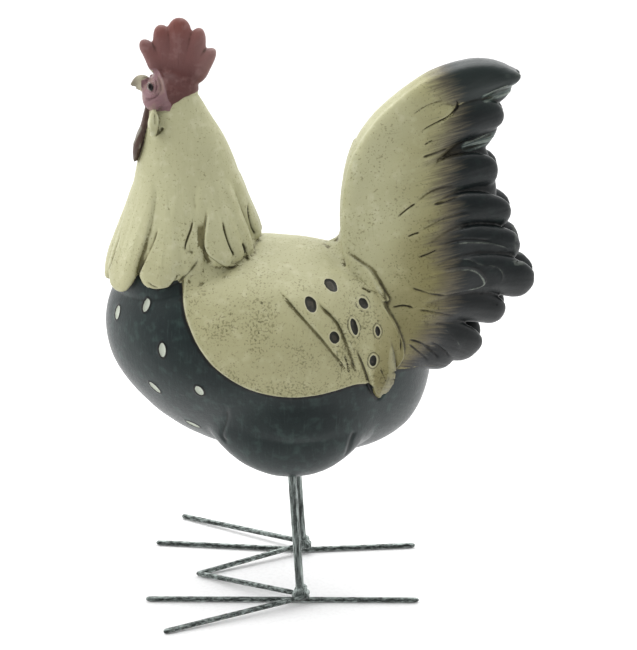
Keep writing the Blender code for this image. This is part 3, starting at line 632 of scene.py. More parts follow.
def runs(places, line):
    """Each straight run of a line, how far along it each place is (0 to 1), and the way to the place."""
    for start, end in zip(line[:-1], line[1:]):
        run = end - start
        part = np.clip(((places - start) @ run) / (run @ run), 0, 1)
        yield run, part, places - start - part[:, None] * run


def along_line(places, normals, points, reach):
    """For places within reach of a line: which they are, distance, left hand (1) or right, and share."""
    line = spread_points(points, np.linspace(0, 1, STEPS_A_RUN * (len(points) - 1) + 1))
    near = near_to(places, line, reach)
    facing = normals[near]
    best = np.full(len(near), np.inf)
    hand, share = np.zeros((2, len(near)))
    for k, (run, part, away) in enumerate(runs(places[near], line)):
        height = (away * facing).sum(axis=1)
        gap = np.linalg.norm(away - height[:, None] * facing, axis=1)
        gap += np.where(abs(height) > OTHER_SKIN, ELSEWHERE, 0)
        nearer = gap < best
        best[nearer] = gap[nearer]
        hand[nearer] = np.sign((np.cross(run, away[nearer]) * facing[nearer]).sum(axis=1))
        share[nearer] = (k + part[nearer]) / (len(line) - 1)
    return near, best, hand, share


def outside_of(places, path, wide, deep, blunt, facing=LEFTWARD, lean=0):
    """For places near a form: which they are, how far outside it, how far along and across, in mm."""
    line = spread_points(path, np.linspace(0, 1, FORM_RUNS + 1))
    near = near_to(places, line, FORM_REACH + max(wide))
    best = np.full(len(near), np.inf)
    t = np.zeros(len(near))
    for k, (run, part, away) in enumerate(runs(places[near], line)):
        gap = np.linalg.norm(away, axis=1)
        nearer = gap < best
        best[nearer] = gap[nearer]
        t[nearer] = (k + part[nearer]) / FORM_RUNS
    away = places[near] - spread_points(path, t)
    across, outward = directions(path, t, facing, lean, False)
    size = np.maximum(closing(t, blunt), 0.05)
    u = (away * across).sum(axis=1)
    v = (away * outward).sum(axis=1)
    full = np.maximum(np.hypot(u / (spread(wide, t) * size), v / (spread(deep, t) * size)), 1e-3)
    length = np.linalg.norm(np.diff(line, axis=0), axis=1).sum()
    return near, best * (1 - 1 / full), t * length, u


def distance_2d(points, line):
    best = np.full(len(points), np.inf)
    for run, part, away in runs(points, line):
        best = np.minimum(best, np.hypot(away[:, 0], away[:, 1]))
    return best


def inside_2d(points, outline):
    within = np.zeros(len(points), bool)
    for start, end in zip(outline[:-1], outline[1:]):
        crosses = (start[1] > points[:, 1]) != (end[1] > points[:, 1])
        slope = (end[0] - start[0]) / (end[1] - start[1]) if end[1] != start[1] else 0
        within ^= crosses & (points[:, 0] < start[0] + (points[:, 1] - start[1]) * slope)
    return within


def depth_in(places, outline, steps):
    """How far inside an outline a place is, seen from the side; negative outside it."""
    closed = outline + outline[:1]
    edge = spread_points(closed, np.linspace(0, 1, steps * len(outline) + 1))
    seen = places[:, [0, 2]]
    near = near_to(seen, edge, -OUTSIDE)
    depth = np.full(len(places), OUTSIDE)
    gap = distance_2d(seen[near], edge)
    depth[near] = np.where(inside_2d(seen[near], edge), gap, -gap)
    return depth


def dot_gap(places, normals, middle, half_width, half_height, tilt):
    """For places near a dot: which they are, and how far outside its edge, in mm."""
    middle = np.array(middle, float)
    near = np.nonzero(np.abs(places - middle).max(axis=1) < DOT_REACH)[0]
    closest = near[np.argsort(np.linalg.norm(places[near] - middle, axis=1))[:DOT_NEIGHBOURS]]
    facing = normals[closest].mean(axis=0)
    facing /= np.linalg.norm(facing)
    aside = np.cross(facing, (0, 0, 1))
    aside /= np.linalg.norm(aside)
    up = np.cross(aside, facing)
    turn = math.radians(tilt)
    away = places[near] - middle
    u = away @ (aside * math.cos(turn) - up * math.sin(turn))
    v = away @ (up * math.cos(turn) + aside * math.sin(turn))
    around = np.hypot(u / half_width, v / half_height)
    radius = np.hypot(u, v)
    return near, radius - radius / np.maximum(around, 1e-3)


def rough_noise(places, size, seed=0.0):
    """Soft random lumps of a size in millimetres, from -1 to 1."""
    return np.array([noise.noise(p) for p in (places / size + seed).tolist()])


def neighbour_mean(values, edges, count):
    total = np.zeros_like(values)
    for k in range(values.shape[1]):
        total[:, k] = (np.bincount(edges[:, 0], values[edges[:, 1], k], count)
                       + np.bincount(edges[:, 1], values[edges[:, 0], k], count))
    around = np.bincount(edges.ravel(), minlength=count)[:, None]
    return np.where(around > 0, total / np.maximum(around, 1), values)


class Paint:
    """What the brush needs to know about each vertex of the casting. Lift is relief in millimetres,
    the darkening (dark wash and painted shade) and rub say how dark and how pale a place is, and the rest are
    zones, as distances in them."""

    def __init__(self, places, normals):
        self.places, self.normals = mirrored_left(places, normals)
        count = len(places)
        self.lift, self.wash, self.rub, self.scuff = np.zeros((4, count))
        self.wing_dot, self.white_dot, self.second_ring, self.eye, self.pupil = np.full((5, count), FAR)
        self.stroke = places[:, [0, 2, 1]] * (1, 1, 0.4)
        self.uneven = rough_noise(self.places, 11, 7.7)

    def darken(self, amount, near=slice(None)):
        """Darken places to at least this amount; it carries dark wash and painted shade alike."""
        self.wash[near] = np.maximum(self.wash[near], amount)

    def plate(self):
        """The raised wing plate with its lip, the long feather over it, and the hackle's second tip."""
        x, y, z = self.places.T
        # Only the outer skin of the flank, which faces sideways, takes any of it.
        flank = ease(-y, 22, 30) * ease(-self.normals[:, 1], 0.2, 0.5)
        self.plate_in = depth_in(self.places, WING_PLATE, 8)
        feather_in = depth_in(self.places, LONG_FEATHER, 3)
        feather = ease(feather_in, -0.2, 1.2)
        # The plate stands 3 mm proud and melts into the back between these heights.
        shown = flank * fade(z, 186, 208)
        self.lift += 3.0 * shown * np.maximum(ease(self.plate_in, 0, 2.0), feather * ease(z, 129, 141))
        rim = shown * (1 - feather)
        self.lift += 0.4 * rim * bell(self.plate_in, 1.8, 1.3)
        # Painted shadow: a dark line just outside the plate's edge, under its overhang.
        self.wash += 0.8 * rim * bell(self.plate_in, -0.6, 0.7)
        self.rub += 0.5 * rim * bell(self.plate_in, 0.8, 0.6)
        # The long feather's lower end lies 1.4 mm over it, with a groove round it that takes dark wash, and
        # painted shade on its rear wall.
        shown = flank * fade(z, 154, 168)
        self.lift += shown * (1.4 * feather - 0.8 * bell(feather_in, -0.9, 0.8))
        self.darken(0.9 * shown * bell(feather_in, -0.4, 0.45))
        wall = shown * ease(x, 35, 38)
        self.darken(wall * bell(feather_in, -0.1, 1.1))
        self.rub += 0.35 * (shown - wall) * bell(feather_in, 0.9, 0.5)
        # The second hackle bundle's tip, with painted shadow just under its edge and paler rubbed paint on
        # it.
        tip_in = depth_in(self.places, SECOND_TIP, 3)
        shown = flank * fade(z, 203, 216)
        self.lift += shown * (1.1 * ease(tip_in, 0, 1.4) - 0.3 * bell(tip_in, -0.7, 0.7))
        self.darken(0.7 * shown * bell(tip_in, -0.4, 0.6))
        self.rub += 0.3 * shown * bell(tip_in, 0.8, 0.5) * ease(self.uneven, -0.3, 0.3)

    def steps_and_cuts(self):
        """Relief, dark wash and rubbed paint along every drawn line, and painted shade below each step. Each
        fades out towards its ends.
        """
        for points, lift, reach in STEPS:
            near, gap, hand, share = along_line(self.places, self.normals, points, STEP_REACH)
            across = gap * hand
            taper = ease(share, 0, 0.2) * ease(1 - share, 0, 0.12)
            self.lift[near] += lift * taper * ease(across, -0.7, 0.9) * np.exp(-np.maximum(across, 0) / reach)
            self.lift[near] -= taper * (0.3 * bell(across, -0.8, 0.9) + 0.5 * bell(across, -2.2, 2.4))
            # A dark line at the foot of each step, wash in the crease together with painted shadow, then a
            # soft band of painted shade on its low side.
            self.darken(taper * (0.75 + 0.5 * self.uneven[near]) * bell(across, -0.25, 0.5), near)
            self.darken(0.3 * taper * (across < 0) * np.exp(-gap / 2.0), near)
            self.rub[near] += 0.25 * taper * bell(across, 1.5, 0.7)
        for points, depth, width, dark in CUTS:
            near, gap, hand, share = along_line(self.places, self.normals, points, CUT_REACH)
            taper = ease(share, 0, 0.22) * ease(1 - share, 0, 0.18) * (1 + 0.5 * self.uneven[near])
            self.lift[near] -= depth * taper * bell(gap, 0, width)
            self.lift[near] += 0.15 * depth * taper * bell(gap, 2 * width, width)
            self.darken(dark * taper * bell(gap, 0, 0.85 * width), near)
        for points, height, width, pale in RIDGES:
            near, gap, hand, share = along_line(self.places, self.normals, points, RIDGE_REACH)
            taper = ease(share, 0, 0.2) * ease(1 - share, 0, 0.2)
            self.lift[near] += height * taper * bell(gap, 0, width)
            self.rub[near] += pale * taper * bell(gap, 0, width)
        for points in SCUFFS:
            line = spread_points(points, np.linspace(0, 1, 16))
            gap = np.linalg.norm(self.places[:, None, [0, 2]] - line[None, :, [0, 2]], axis=2).min(axis=1)
            self.scuff = np.maximum(self.scuff, fade(gap, 2.0, 3.3))

    def dots(self):
        """Dots pressed in by half a millimetre, with a low rim, and the eye."""
        for *shape, ring in WING_DOTS:
            near, gap = dot_gap(self.places, self.normals, *shape)
            self.wing_dot[near] = np.minimum(self.wing_dot[near], gap)
            if ring:
                self.second_ring[near] = np.minimum(self.second_ring[near], np.abs(gap - ring))
        for shape in BREAST_DOTS:
            near, gap = dot_gap(self.places, self.normals, *shape)
            self.white_dot[near] = np.minimum(self.white_dot[near], gap)
        for gap in (self.wing_dot, self.white_dot):
            self.lift -= 0.5 * fade(gap, -1.0, 0.2)
            self.lift += 0.3 * bell(gap, 0.6, 0.45)
        for painted, shape in ((self.eye, EYE_DOT), (self.pupil, PUPIL_DOT)):
            near, gap = dot_gap(self.places, self.normals, *shape)
            painted[near] = np.where(self.places[near, 1] < EYE_SIDE, gap, FAR)

    def feathers(self):
        """Paint zones by the form that a place belongs to, and the way that the brush ran there."""
        x, y, z = self.places.T
        apart = np.full(len(x), FAR)
        for path, wide, deep, facing in hackle_feathers():
            near, out, along, across = outside_of(self.places, path, wide, deep, FEATHER_BLUNT, facing)
            apart[near] = np.minimum(apart[near], out)
            # The skin that this feather made, and the lip at its lower end.
            mine = out < 1.5
            self.stroke[near[mine]] = np.stack([across, along, np.full(len(near), wide[2])], axis=1)[mine]
            end = np.linalg.norm(np.diff(path, axis=0), axis=1).sum()
            lip = ease(along, end - 4.5, end - 2) * (np.abs(out) < 2)
            self.lift[near] += 0.35 * lip
            self.rub[near] += 0.35 * lip * ease(self.uneven[near], -0.4, 0.3)
        for path, wide in wing_feathers():
            near, out, along, across = outside_of(self.places, path, wide, WING_DEEP, WING_BLUNT,
                                                  lean=WING_LEAN)
            apart[near] = np.minimum(apart[near], out)
        # Cream: the feathers and the wing plate, the neck, the back, and the tail above its lower edge.
        cream = np.maximum(0.9 - apart, np.where(y < -18, self.plate_in, OUTSIDE))
        for here, above in ((x < -60, z - 198), ((x > -78) & (x < 30), z - 196),
                            (x > 26, z - (145.5 - 0.19 * (x - 40)))):
            cream = np.maximum(cream, np.where(here, above, OUTSIDE))
        self.dark_paint = -cream
        self.lip = ease(self.plate_in, -0.4, 0.2) * fade(self.plate_in, 0.6, 2.2) * (y < -18)
        self.lip *= fade(x, 12, 22) * fade(z, 178, 200)
        # On the tail the brush ran out along its feathers.
        tail = x > 34
        slope = np.interp(z, (145, 172, 205, 300), (-0.55, -0.12, 0.12, 0.3))
        self.stroke[tail] = np.stack([z - slope * (x - 70), x, np.zeros(len(x))], axis=1)[tail]
        self.tail_paint = np.where((x > 30) & (self.dark_paint < 0.5), x - np.interp(z, *TAIL_EDGE), -60)
        # The short tongue under the top feather stays cream.
        near, out, along, across = outside_of(self.places, *TAIL_TONGUE, WING_BLUNT, lean=TAIL_LEAN)
        tongue = near[out < 0.8]
        self.tail_paint[tongue] = np.minimum(self.tail_paint[tongue], -14)
        # Red above the edge of the face and on the wattles, but not on the ear lobes.
        self.red_paint = np.where(x < -55, z - np.interp(x, *FACE_EDGE), OUTSIDE)
        near, out, along, across = outside_of(self.places, *WATTLE, WATTLE_BLUNT)
        self.red_paint[near] = np.maximum(self.red_paint[near], 1.0 - out)
        wattle = near[(out < 0.8) & (z[near] < 289)]
        near, out, along, across = outside_of(self.places, *EAR_LOBE, EAR_LOBE_BLUNT)
        self.red_paint[near] = np.minimum(self.red_paint[near], out - 0.8)
        # The beak's paint runs up to a point over its root.
        beak = np.minimum(-98.8 - x, np.minimum(304.5 - z, z - 294.5))
        crown = np.minimum(z - 303.9 - 0.4 * (x + 97.5), np.minimum(-92.2 - x, 309.5 - z))
        self.beak_paint = np.maximum(beak, crown)
        # A rim round the eye and a groove inside it.
        self.lift += 0.35 * bell(self.eye, 0.9, 0.45) - 0.3 * bell(self.eye, 0.1, 0.3)
        # The bare skin of the face is mauve; the wattles are brown.
        self.face = ease(np.interp(z, *FACE_BACK) - x, -0.8, 0.8) * fade(z, 308, 313) * ease(z, 286, 288)
        self.face[wattle] = -1

    def surface(self):
        """Pits in the cream paint and the slow unevenness of a hand-carved model."""
        x, z = self.places[:, 0], self.places[:, 2]
        off_dot = self.wing_dot > 1.4
        pale = ease(-self.dark_paint, 0.5, 3) * (self.tail_paint < -6) * (self.red_paint < -1)
        wing = pale * ease(x, -80, -55) * fade(z, 186, 206)
        patch = 0.2 + 0.8 * ease(rough_noise(self.places, 17, 9.3), -0.15, 0.35)
        self.speckle = patch * (wing + 0.45 * pale * (1 - wing))
        self.speckle *= off_dot * (1 - 0.92 * ease(z, 215, 240) * ease(-x, 40, 50))
        self.pit = ease(rough_noise(self.places, 1.5), 0.3, 0.55) * patch * wing * off_dot
        self.lift -= 0.22 * self.pit
        self.lift += 0.22 * rough_noise(self.places, 14, 4.1) + 0.05 * rough_noise(self.places, 3.1, 2.2)
        # Noise drawn out along the brush: millimetres across a stroke and along it.
        scrape, grain, flutes = (rough_noise(self.stroke * (1 / across, 1 / along, 1), 1.0, seed)
                                 for across, along, seed in ((1.4, 10, 6.1), (1.7, 22, 5.5), (4.5, 60, 2.5)))
        self.lift += 0.35 * self.scuff * scrape
        self.rub += 0.9 * self.scuff * ease(scrape, 0.1, 0.35)
        self.darken(0.8 * self.scuff * ease(-scrape, 0.05, 0.3))
        bundles = ease(-self.dark_paint, 0, 2) * fade(x, -62, -52) * ease(z, 180, 200) * fade(z, 240, 262)
        self.lift += 0.13 * (ease(x, 40, 66) + bundles) * grain
        self.lift += 0.5 * bundles * fade(z, 215, 262) * flutes


def smooth_where(places, normals, edges):
    """Rub down the seams between forms where the model is one smooth surface: the flanks over the
    thighs, the inner half of the tail, the thick hackle bundle, the saddle, the comb and the tail's front."""
    x, z, sideways = places[:, 0], places[:, 2], np.abs(normals[:, 1])
    flank = ease(z, 106, 120) * fade(z, 180, 192) * ease(x, -84, -70) * fade(x, 40, 50)
    tail = ease(x, 24, 34) * ease(z, 186, 200) * fade(x - np.interp(z, *TAIL_EDGE), -22, -6)
    tail += ease(x, 44, 50) * ease(z, 150, 156) * fade(z, 186, 200) * fade(x, 54, 62)
    bundle = ease(x, -81, -77) * fade(x, -67, -64) * ease(z, 190, 196) * fade(z, 228, 238)
    amount = np.clip(flank + tail + bundle, 0, 1) * ease(sideways, 0.35, 0.7)
    saddle = ease(x, 2, 12) * fade(x, 34, 44) * ease(z, 194, 202) * fade(z, 225, 245)
    amount = np.maximum(amount, 0.8 * saddle * ease(sideways, 0.1, 0.4))
    comb = ease(z, 299, 304) * fade(z, 311, 316) * ease(x, -88, -84) * fade(x, -68, -64)
    amount = np.maximum(amount, 0.3 * comb * ease(sideways, 0.1, 0.4))
    seen = places[:, [0, 2]]
    front = np.array(TAIL_FRONT[0])[:, [0, 2]]
    corner = [(112, 190), (24, 190)]
    outer = ~inside_2d(seen, [*front, *corner, front[0]]) & (x > 20) & (z > 200)
    amount = np.maximum(amount, 0.3 * outer * ease(distance_2d(seen, front), 1, 5))
    chosen = np.nonzero(amount > 0.01)[0]
    number = np.full(len(places), -1)
    number[chosen] = np.arange(len(chosen))
    inner = number[edges[(number[edges] >= 0).all(axis=1)]]
    here = places[chosen]
    held = 0.9 * amount[chosen][:, None]
    for _ in range(RUBBINGS):
        here += held * (neighbour_mean(here, inner, len(chosen)) - here)
    places[chosen] = here


def fused(name, forms, voxel, smoothing):
    """All the forms melted into one skin."""
    bm = bmesh.new()
    for carve in forms:
        carve(bm)
    bmesh.ops.recalc_face_normals(bm, faces=bm.faces)
    rough = put(name + "_rough", mesh_of(name, bm))
    fuse = rough.modifiers.new("fuse", "REMESH")
    fuse.mode = "VOXEL"
    fuse.voxel_size = voxel / 1000
    melt = rough.modifiers.new("melt", "SMOOTH")
    melt.factor = 0.5
    melt.iterations = smoothing
    return applied(rough, name)


def read_skin(skin):
    """A skin's places in drawn millimetres, and the way that it faces there."""
    places = np.empty(len(skin.vertices) * 3)
    normals = np.empty(len(skin.vertices) * 3)
    skin.vertices.foreach_get("co", places)
    skin.vertex_normals.foreach_get("vector", normals)
    places = places.reshape(-1, 3) * 1000
    places[:, 1] -= CASTING_SHIFT
    return places, normals.reshape(-1, 3)


def write_skin(skin, places):
    skin.vertices.foreach_set("co", to_world(places).ravel())
    skin.update()


def note(skin, name, values):
    kind, field = ("FLOAT_VECTOR", "vector") if values.ndim == 2 else ("FLOAT", "value")
    kept = skin.attributes.new(name, kind, "POINT")
    kept.data.foreach_set(field, values.astype(np.float32).ravel())


def thinned(skin, name, triangles):
    """The same skin with fewer triangles, the small ones kept where it is carved."""
    dense = put(name, skin)
    thin = dense.modifiers.new("thin", "DECIMATE")
    skin.calc_loop_triangles()
    thin.ratio = triangles / len(skin.loop_triangles)
    thin.use_collapse_triangulate = True
    done = applied(dense, name)
    shade_round(done)
    return put(name, done)


def finer_face(skin):
    """Split the head's faces once more, so that the lines round the eye are crisp."""
    bm = bmesh.new()
    bm.from_mesh(skin)
    head = [e for e in bm.edges
            if all(v.co.x < HEAD_BACK and HEAD_LOW < v.co.z < HEAD_HIGH for v in e.verts)]
    bmesh.ops.subdivide_edges(bm, edges=head, cuts=1, use_grid_fill=True)
    bm.to_mesh(skin)
    bm.free()


def carve_casting():
    skin = fused("casting", (body_forms, head_forms, tail_forms), FUSE_VOXEL, 4)
    finer_face(skin)
    places, normals = read_skin(skin)
    edges = np.empty(len(skin.edges) * 2, int)
    skin.edges.foreach_get("vertices", edges)
    edges = edges.reshape(-1, 2)
    smooth_where(places, normals, edges)
    write_skin(skin, places)
    places, normals = read_skin(skin)
    paint = Paint(places, normals)
    paint.plate()
    paint.steps_and_cuts()
    paint.dots()
    paint.feathers()
    paint.surface()
    # Nothing stands out of the box round the whole rooster.
    low, high = (np.array(corner) * 1000 - (0, CASTING_SHIFT, 0) for corner in cad_box)
    carved = np.clip(places + normals * paint.lift[:, None], low + BOX_MARGIN, high - BOX_MARGIN)
    write_skin(skin, carved)
    carved, facing = read_skin(skin)
    count = len(carved)
    # How concave each place is; the paint darkens concave places with wash and painted shade, hardly at all
    # on the face.
    hollow = ((neighbour_mean(carved, edges, count) - carved) * facing).sum(axis=1)[:, None]
    for _ in range(2):
        hollow = neighbour_mean(hollow, edges, count)
    paint.hollow = hollow[:, 0] * (1 - 0.95 * np.maximum(paint.face, 0))
    paint.darken(0.6 * paint.pit)
    for name in PAINTED:
        note(skin, name, getattr(paint, name))
    return thinned(skin, "painted_rooster", CASTING_TRIANGLES)


# Materials.

def painted_resin():
    """Cast polyester resin, brushed with matt acrylics in cream, slate and brick red, and sealed with a
    satin varnish: it gives soft broad highlights, dark wash in every cut and pale rubbed edges; painted shade
    and painted light are laid into its colours too."""
    made, tree, shader = new_material("brushed_acrylic_on_cast_resin")
    place = node(tree, "TexCoord").outputs["Object"]
    known = {name: node(tree, "Attribute", attribute_name=name) for name in PAINTED}
    at = {name: found.outputs["Fac"] for name, found in known.items()}
    parted = node(tree, "SeparateXYZ", {0: place})
    ahead, height = parted.outputs[0], parted.outputs[2]
    # Clouds of 25 mm, mottling of 6 mm, grains of 1.2 mm, and brush marks 1.2 mm wide and 18 mm long. The
    # strokes are noted in millimetres, so their clouds are 1000 times larger.
    clouds = cloudy(tree, place, 25, 3)
    mottle = cloudy(tree, place, 6, 3)
    grains = cloudy(tree, place, 1.2)
    brushed = stretched(tree, known["stroke"].outputs["Vector"], (1 / 1.2, 1 / 18, 1))
    marks = cloudy(tree, brushed, 1000, 3, 0.6)

    # Cream, darker and browner lower down as painted shade, and paler on the wing plate's lip.
    specks = maths(tree, "MULTIPLY_ADD", at["speckle"], 0.12, grains)
    low = maths(tree, "MULTIPLY_ADD", at["tail_paint"], 0.02, graded(tree, height, 0.26, 0.19))
    cream = coats(tree, mixed(tree, clouds, "#b2b18e", "#a5a380"),
                  ("#c0bfa0", mottle, 0.5, 0.75, 0.5),
                  ("#66633f", specks, 0.61, 0.74, 0.55),
                  ("#8b8967", marks, 0.55, 0.8, 0.35),
                  ("#efece2", height, 0.235, 0.15, 1, "MULTIPLY"),
                  ("#dfdccb", at["tail_paint"], -42, -8, 1, "MULTIPLY"),
                  ("#dedac9", low, -0.2, 0.6, 1, "MULTIPLY"),
                  ("#bfbda6", at["lip"], 0, 1, 0.65))
    # Slate, darker along the edge of the cream as painted shade under its overhanging edges.
    slate = coats(tree, mixed(tree, clouds, "#131b1e", "#1c2b29"),
                  ("#33433f", marks, 0.52, 0.8, 0.45),
                  ("#3c524c", mottle, 0.5, 0.72, 0.3),
                  ("#0b0f11", at["dark_paint"], 2.4, 1.0, 0.7))
    # On the tail: lighter and greener at the tips of the top feathers as painted light, and nearly black at
    # the low ones as painted shade.
    ends = coats(tree, slate,
                 ("#2b3432", height, 0.282, 0.298, 0.6),
                 ("#080c0d", height, 0.196, 0.182, 0.55))
    # Red: dark where the comb joins the head, brick on its lobes, mauve on the face, brown wattles.
    ruddy = maths(tree, "MULTIPLY", mottle, at["face"])
    red = coats(tree, "#56302d",
                ("#6e4845", height, 0.303, 0.318),
                ("#74443d", height, 0.322, 0.336, 0.8),
                ("#84625f", mottle, 0.5, 0.72, 0.5),
                ("#3f2725", marks, 0.55, 0.8, 0.35),
                ("#8a6a66", ahead, -0.072, -0.060, 0.5),
                ("#7f6064", at["face"], 0.3, 0.8, 0.9),
                ("#8c776c", ruddy, 0.47, 0.68, 0.6),
                ("#4a3a32", at["face"], -0.2, -0.8, 0.85))
    beak = coat(tree, "#a09a84", "#625a4c", ahead, -0.0995, -0.1035, 0.8)

    wobble = maths(tree, "MULTIPLY_ADD", mottle, 1.2, at["dark_paint"])
    streaks = maths(tree, "MULTIPLY_ADD", marks, 22, at["tail_paint"])
    scraped = maths(tree, "MULTIPLY", marks, at["scuff"])
    edge = maths(tree, "MULTIPLY_ADD", mottle, 2.0, at["red_paint"])
    ragged = maths(tree, "MULTIPLY_ADD", mottle, 1.2, at["wing_dot"])
    raised = maths(tree, "MULTIPLY", maths(tree, "MULTIPLY", at["hollow"], -1.0), mottle)
    worn = maths(tree, "MULTIPLY", at["rub"], mottle)
    paint = coats(tree, cream,
                  (slate, wobble, 0.45, 0.85),
                  ("#4f483e", streaks, -5, 12, 0.85),
                  (ends, streaks, 6, 20),
                  ("#4b5753", at["scuff"], 0.2, 0.8, 0.8),
                  ("#98a39e", scraped, 0.45, 0.65, 0.7),
                  (red, edge, 0.8, 1.4),
                  (beak, at["beak_paint"], -0.3, 0.5),
                  # Dark wash in cuts and pits with painted shadow under steps and edges, then wash and
                  # painted shade in every concave place.
                  ("#737057", at["wash"], 0.12, 0.95, 1, "MULTIPLY"),
                  ("#a19c86", at["hollow"], 0.010, 0.055, 1, "MULTIPLY"),
                  # Wing dots: a brown middle, a nearly black edge and a pale rim; some with a second ring.
                  ("#bdb99b", ragged, 1.45, 1.15, 0.7),
                  ("#1b1b12", ragged, 0.95, 0.6),
                  ("#3d392f", ragged, -0.4, -1.0, 0.75),
                  ("#262418", ragged, -1.2, -1.9, 0.6),
                  ("#45432e", at["second_ring"], 0.6, 0.2, 0.8),
                  # Breast dots: greenish white in a black ring.
                  ("#0a0d0e", at["white_dot"], 1.6, 1.1),
                  ("#b4baac", at["white_dot"], 0.15, -0.25),
                  # The eye: a brown iris round a black pupil set back from its middle; the paler iris ahead
                  # of the pupil is also a painted highlight.
                  ("#6f615b", at["eye"], 0.25, -0.1),
                  ("#150f10", at["pupil"], 0.2, -0.2),
                  # Raised edges rubbed paler.
                  ("#5c6058", raised, 0.012, 0.05, 0.5, "SCREEN"),
                  ("#757b70", worn, 0.12, 0.5, 0.7, "SCREEN"))

    # Satin varnish, glossier on the slate and glossiest on the eye.
    gloss = graded(tree, grains, 0.3, 0.7, 0.42, 0.6)
    darkest = maths(tree, "MAXIMUM", at["dark_paint"], maths(tree, "MULTIPLY", at["tail_paint"], 0.1))
    gloss = maths(tree, "MULTIPLY", gloss, graded(tree, darkest, 0.2, 1.0, 1.0, 0.72))
    gloss = maths(tree, "MULTIPLY", gloss, graded(tree, at["eye"], 0.0, 0.4, 0.3, 1.0))
    shader.inputs["IOR"].default_value = 1.49
    shader.inputs["Specular IOR Level"].default_value = 0.4
    bumps = maths(tree, "MULTIPLY_ADD", marks, 0.7, grains)
    skin = node(tree, "Bump", {"Height": bumps, "Strength": 0.3, "Distance": 0.0003}).outputs[0]
    feed(tree, shader, {"Base Color": paint, "Roughness": gloss, "Normal": skin})
    return made


def worn_steel(name, along, bright):
    """Mild steel wire, blackened by heat and rubbed back to silver: dark matt patches with bright
    streaks that run along the bar."""
    made, tree, shader = new_material(name)
    place = node(tree, "TexCoord")
    # Streaks about 1 mm wide that run along the bar, and specks of 0.8 mm.
    streaks = cloudy(tree, stretched(tree, place.outputs["Object"], along), 1000, 4, 0.62)
    specks = cloudy(tree, place.outputs["Object"], 0.8)
    # More silver on faces that look up: rubbed wear together with a painted highlight along the tops.
    above = node(tree, "SeparateXYZ", {0: place.outputs["Normal"]}).outputs[2]
    shown = maths(tree, "MULTIPLY_ADD", above, 0.09, streaks)
    shown = maths(tree, "MULTIPLY_ADD", specks, 0.16, shown)
    silver = graded(tree, shown, 0.50 - bright, 0.84 - bright, interpolation_type="SMOOTHSTEP")
    dents = node(tree, "Bump", {"Height": shown, "Strength": 0.5, "Distance": 0.0003}).outputs[0]
    feed(tree, shader, {"Base Color": mixed(tree, silver, "#393d3b", "#a0aaa6"),
                        "Metallic": graded(tree, silver, 0, 1, 0.8, 1.0),
                        "Roughness": graded(tree, silver, 0, 1, 0.48, 0.34), "Normal": dents})
    return made


# Legs and toes, in millimetres. side is -1 for the rooster's left. Bars are drawn a little slimmer than
# in CAD, so that their skin stays inside it.
ROD_SLIMMING, WIRE_SLIMMING = 0.99, 0.985
LONG_TOE_AHEAD, LONG_TOE_BEHIND, LONG_TOE_SPLAY = 90.5, 69, {-1: 0, 1: 10.0}
OUTER_TOE_AHEAD, OUTER_TOE_SPLAY = 77, {-1: 44.0, 1: 52.0}
INNER_TOES_AHEAD = 61.5
# The weld: one lump round the rod's foot and smaller beads beside it. Place for side 1, and radius.
WELD_BEADS = [((0, 0, 6.4), 4.4), ((2.8, -1.6, 5.2), 2.5), ((-2.6, 2.0, 5.6), 2.6),
              ((0.6, 2.9, 4.6), 2.1), ((-1.4, -2.6, 4.8), 2.2)]
TOP_BEAD = ((1.2, 0.4, 8.6), 2.9)


def ankle(side, height=0):
    return np.array((ANKLE_X, side * HALF_STANCE, height), float)


def unit(vector):
    return np.asarray(vector, float) / np.linalg.norm(vector)


def evenly(points, step):
    """Points one step apart along straight runs, so that a bar stays straight between its bends."""
    points = np.array(points, float)
    lengths = np.concatenate([[0], np.cumsum(np.linalg.norm(np.diff(points, axis=0), axis=1))])
    marks = np.linspace(0, lengths[-1], max(int(lengths[-1] / step), 2) + 1)
    return [tuple(np.interp(m, lengths, points[:, k]) for k in range(3)) for m in marks]


def rod_forms(side):
    def carve(bm):
        foot = ankle(side, 2 * WIRE_RADIUS + CLEARANCE)
        top = ankle(side, LEG_LENGTH + SOCKET_DEPTH)
        top[0] -= ROD_LEAN * top[2] / LEG_LENGTH
        half = [ROD_RADIUS * ROD_SLIMMING] * 3
        form(bm, [tuple(foot), tuple((foot + top) / 2), tuple(top)], half, half, blunt=(80, 80),
             rings=64, sides=24)
        beads = [((x, y * side, z), radius) for (x, y, z), radius in WELD_BEADS] + [TOP_BEAD]
        for place, radius in beads:
            ball = bmesh.ops.create_icosphere(bm, subdivisions=3, radius=radius / 1000)["verts"]
            middle = to_world([ankle(side) + place])[0]
            bmesh.ops.translate(bm, vec=middle, verts=ball)
    return carve


def toe_wire(name, points):
    bm = bmesh.new()
    path = evenly(points, 3.0)
    half = [WIRE_RADIUS * WIRE_SLIMMING] * 4
    form(bm, path, half, half, blunt=(70, 70), facing=(0, 0, 1), rings=max(2 * len(path), 40), sides=20)
    bmesh.ops.recalc_face_normals(bm, faces=bm.faces)
    mesh = mesh_of(name, bm)
    shade_round(mesh)
    places, normals = read_skin(mesh)
    # Small flats and dents from cutting and bending; none stands proud of the wire.
    dents = 0.07 * np.minimum(rough_noise(places, 2.4, 3.3), 0) + 0.05 * np.minimum(rough_noise(places, 6), 0)
    write_skin(mesh, places + normals * dents[:, None])
    return put(name, mesh)


def long_toe(side):
    splay = LONG_TOE_SPLAY[side]
    foot = ankle(side, WIRE_RADIUS)
    return [foot + (-LONG_TOE_AHEAD, splay, 0), foot,
            foot + (LONG_TOE_BEHIND, splay * LONG_TOE_BEHIND / LONG_TOE_AHEAD, 0)]


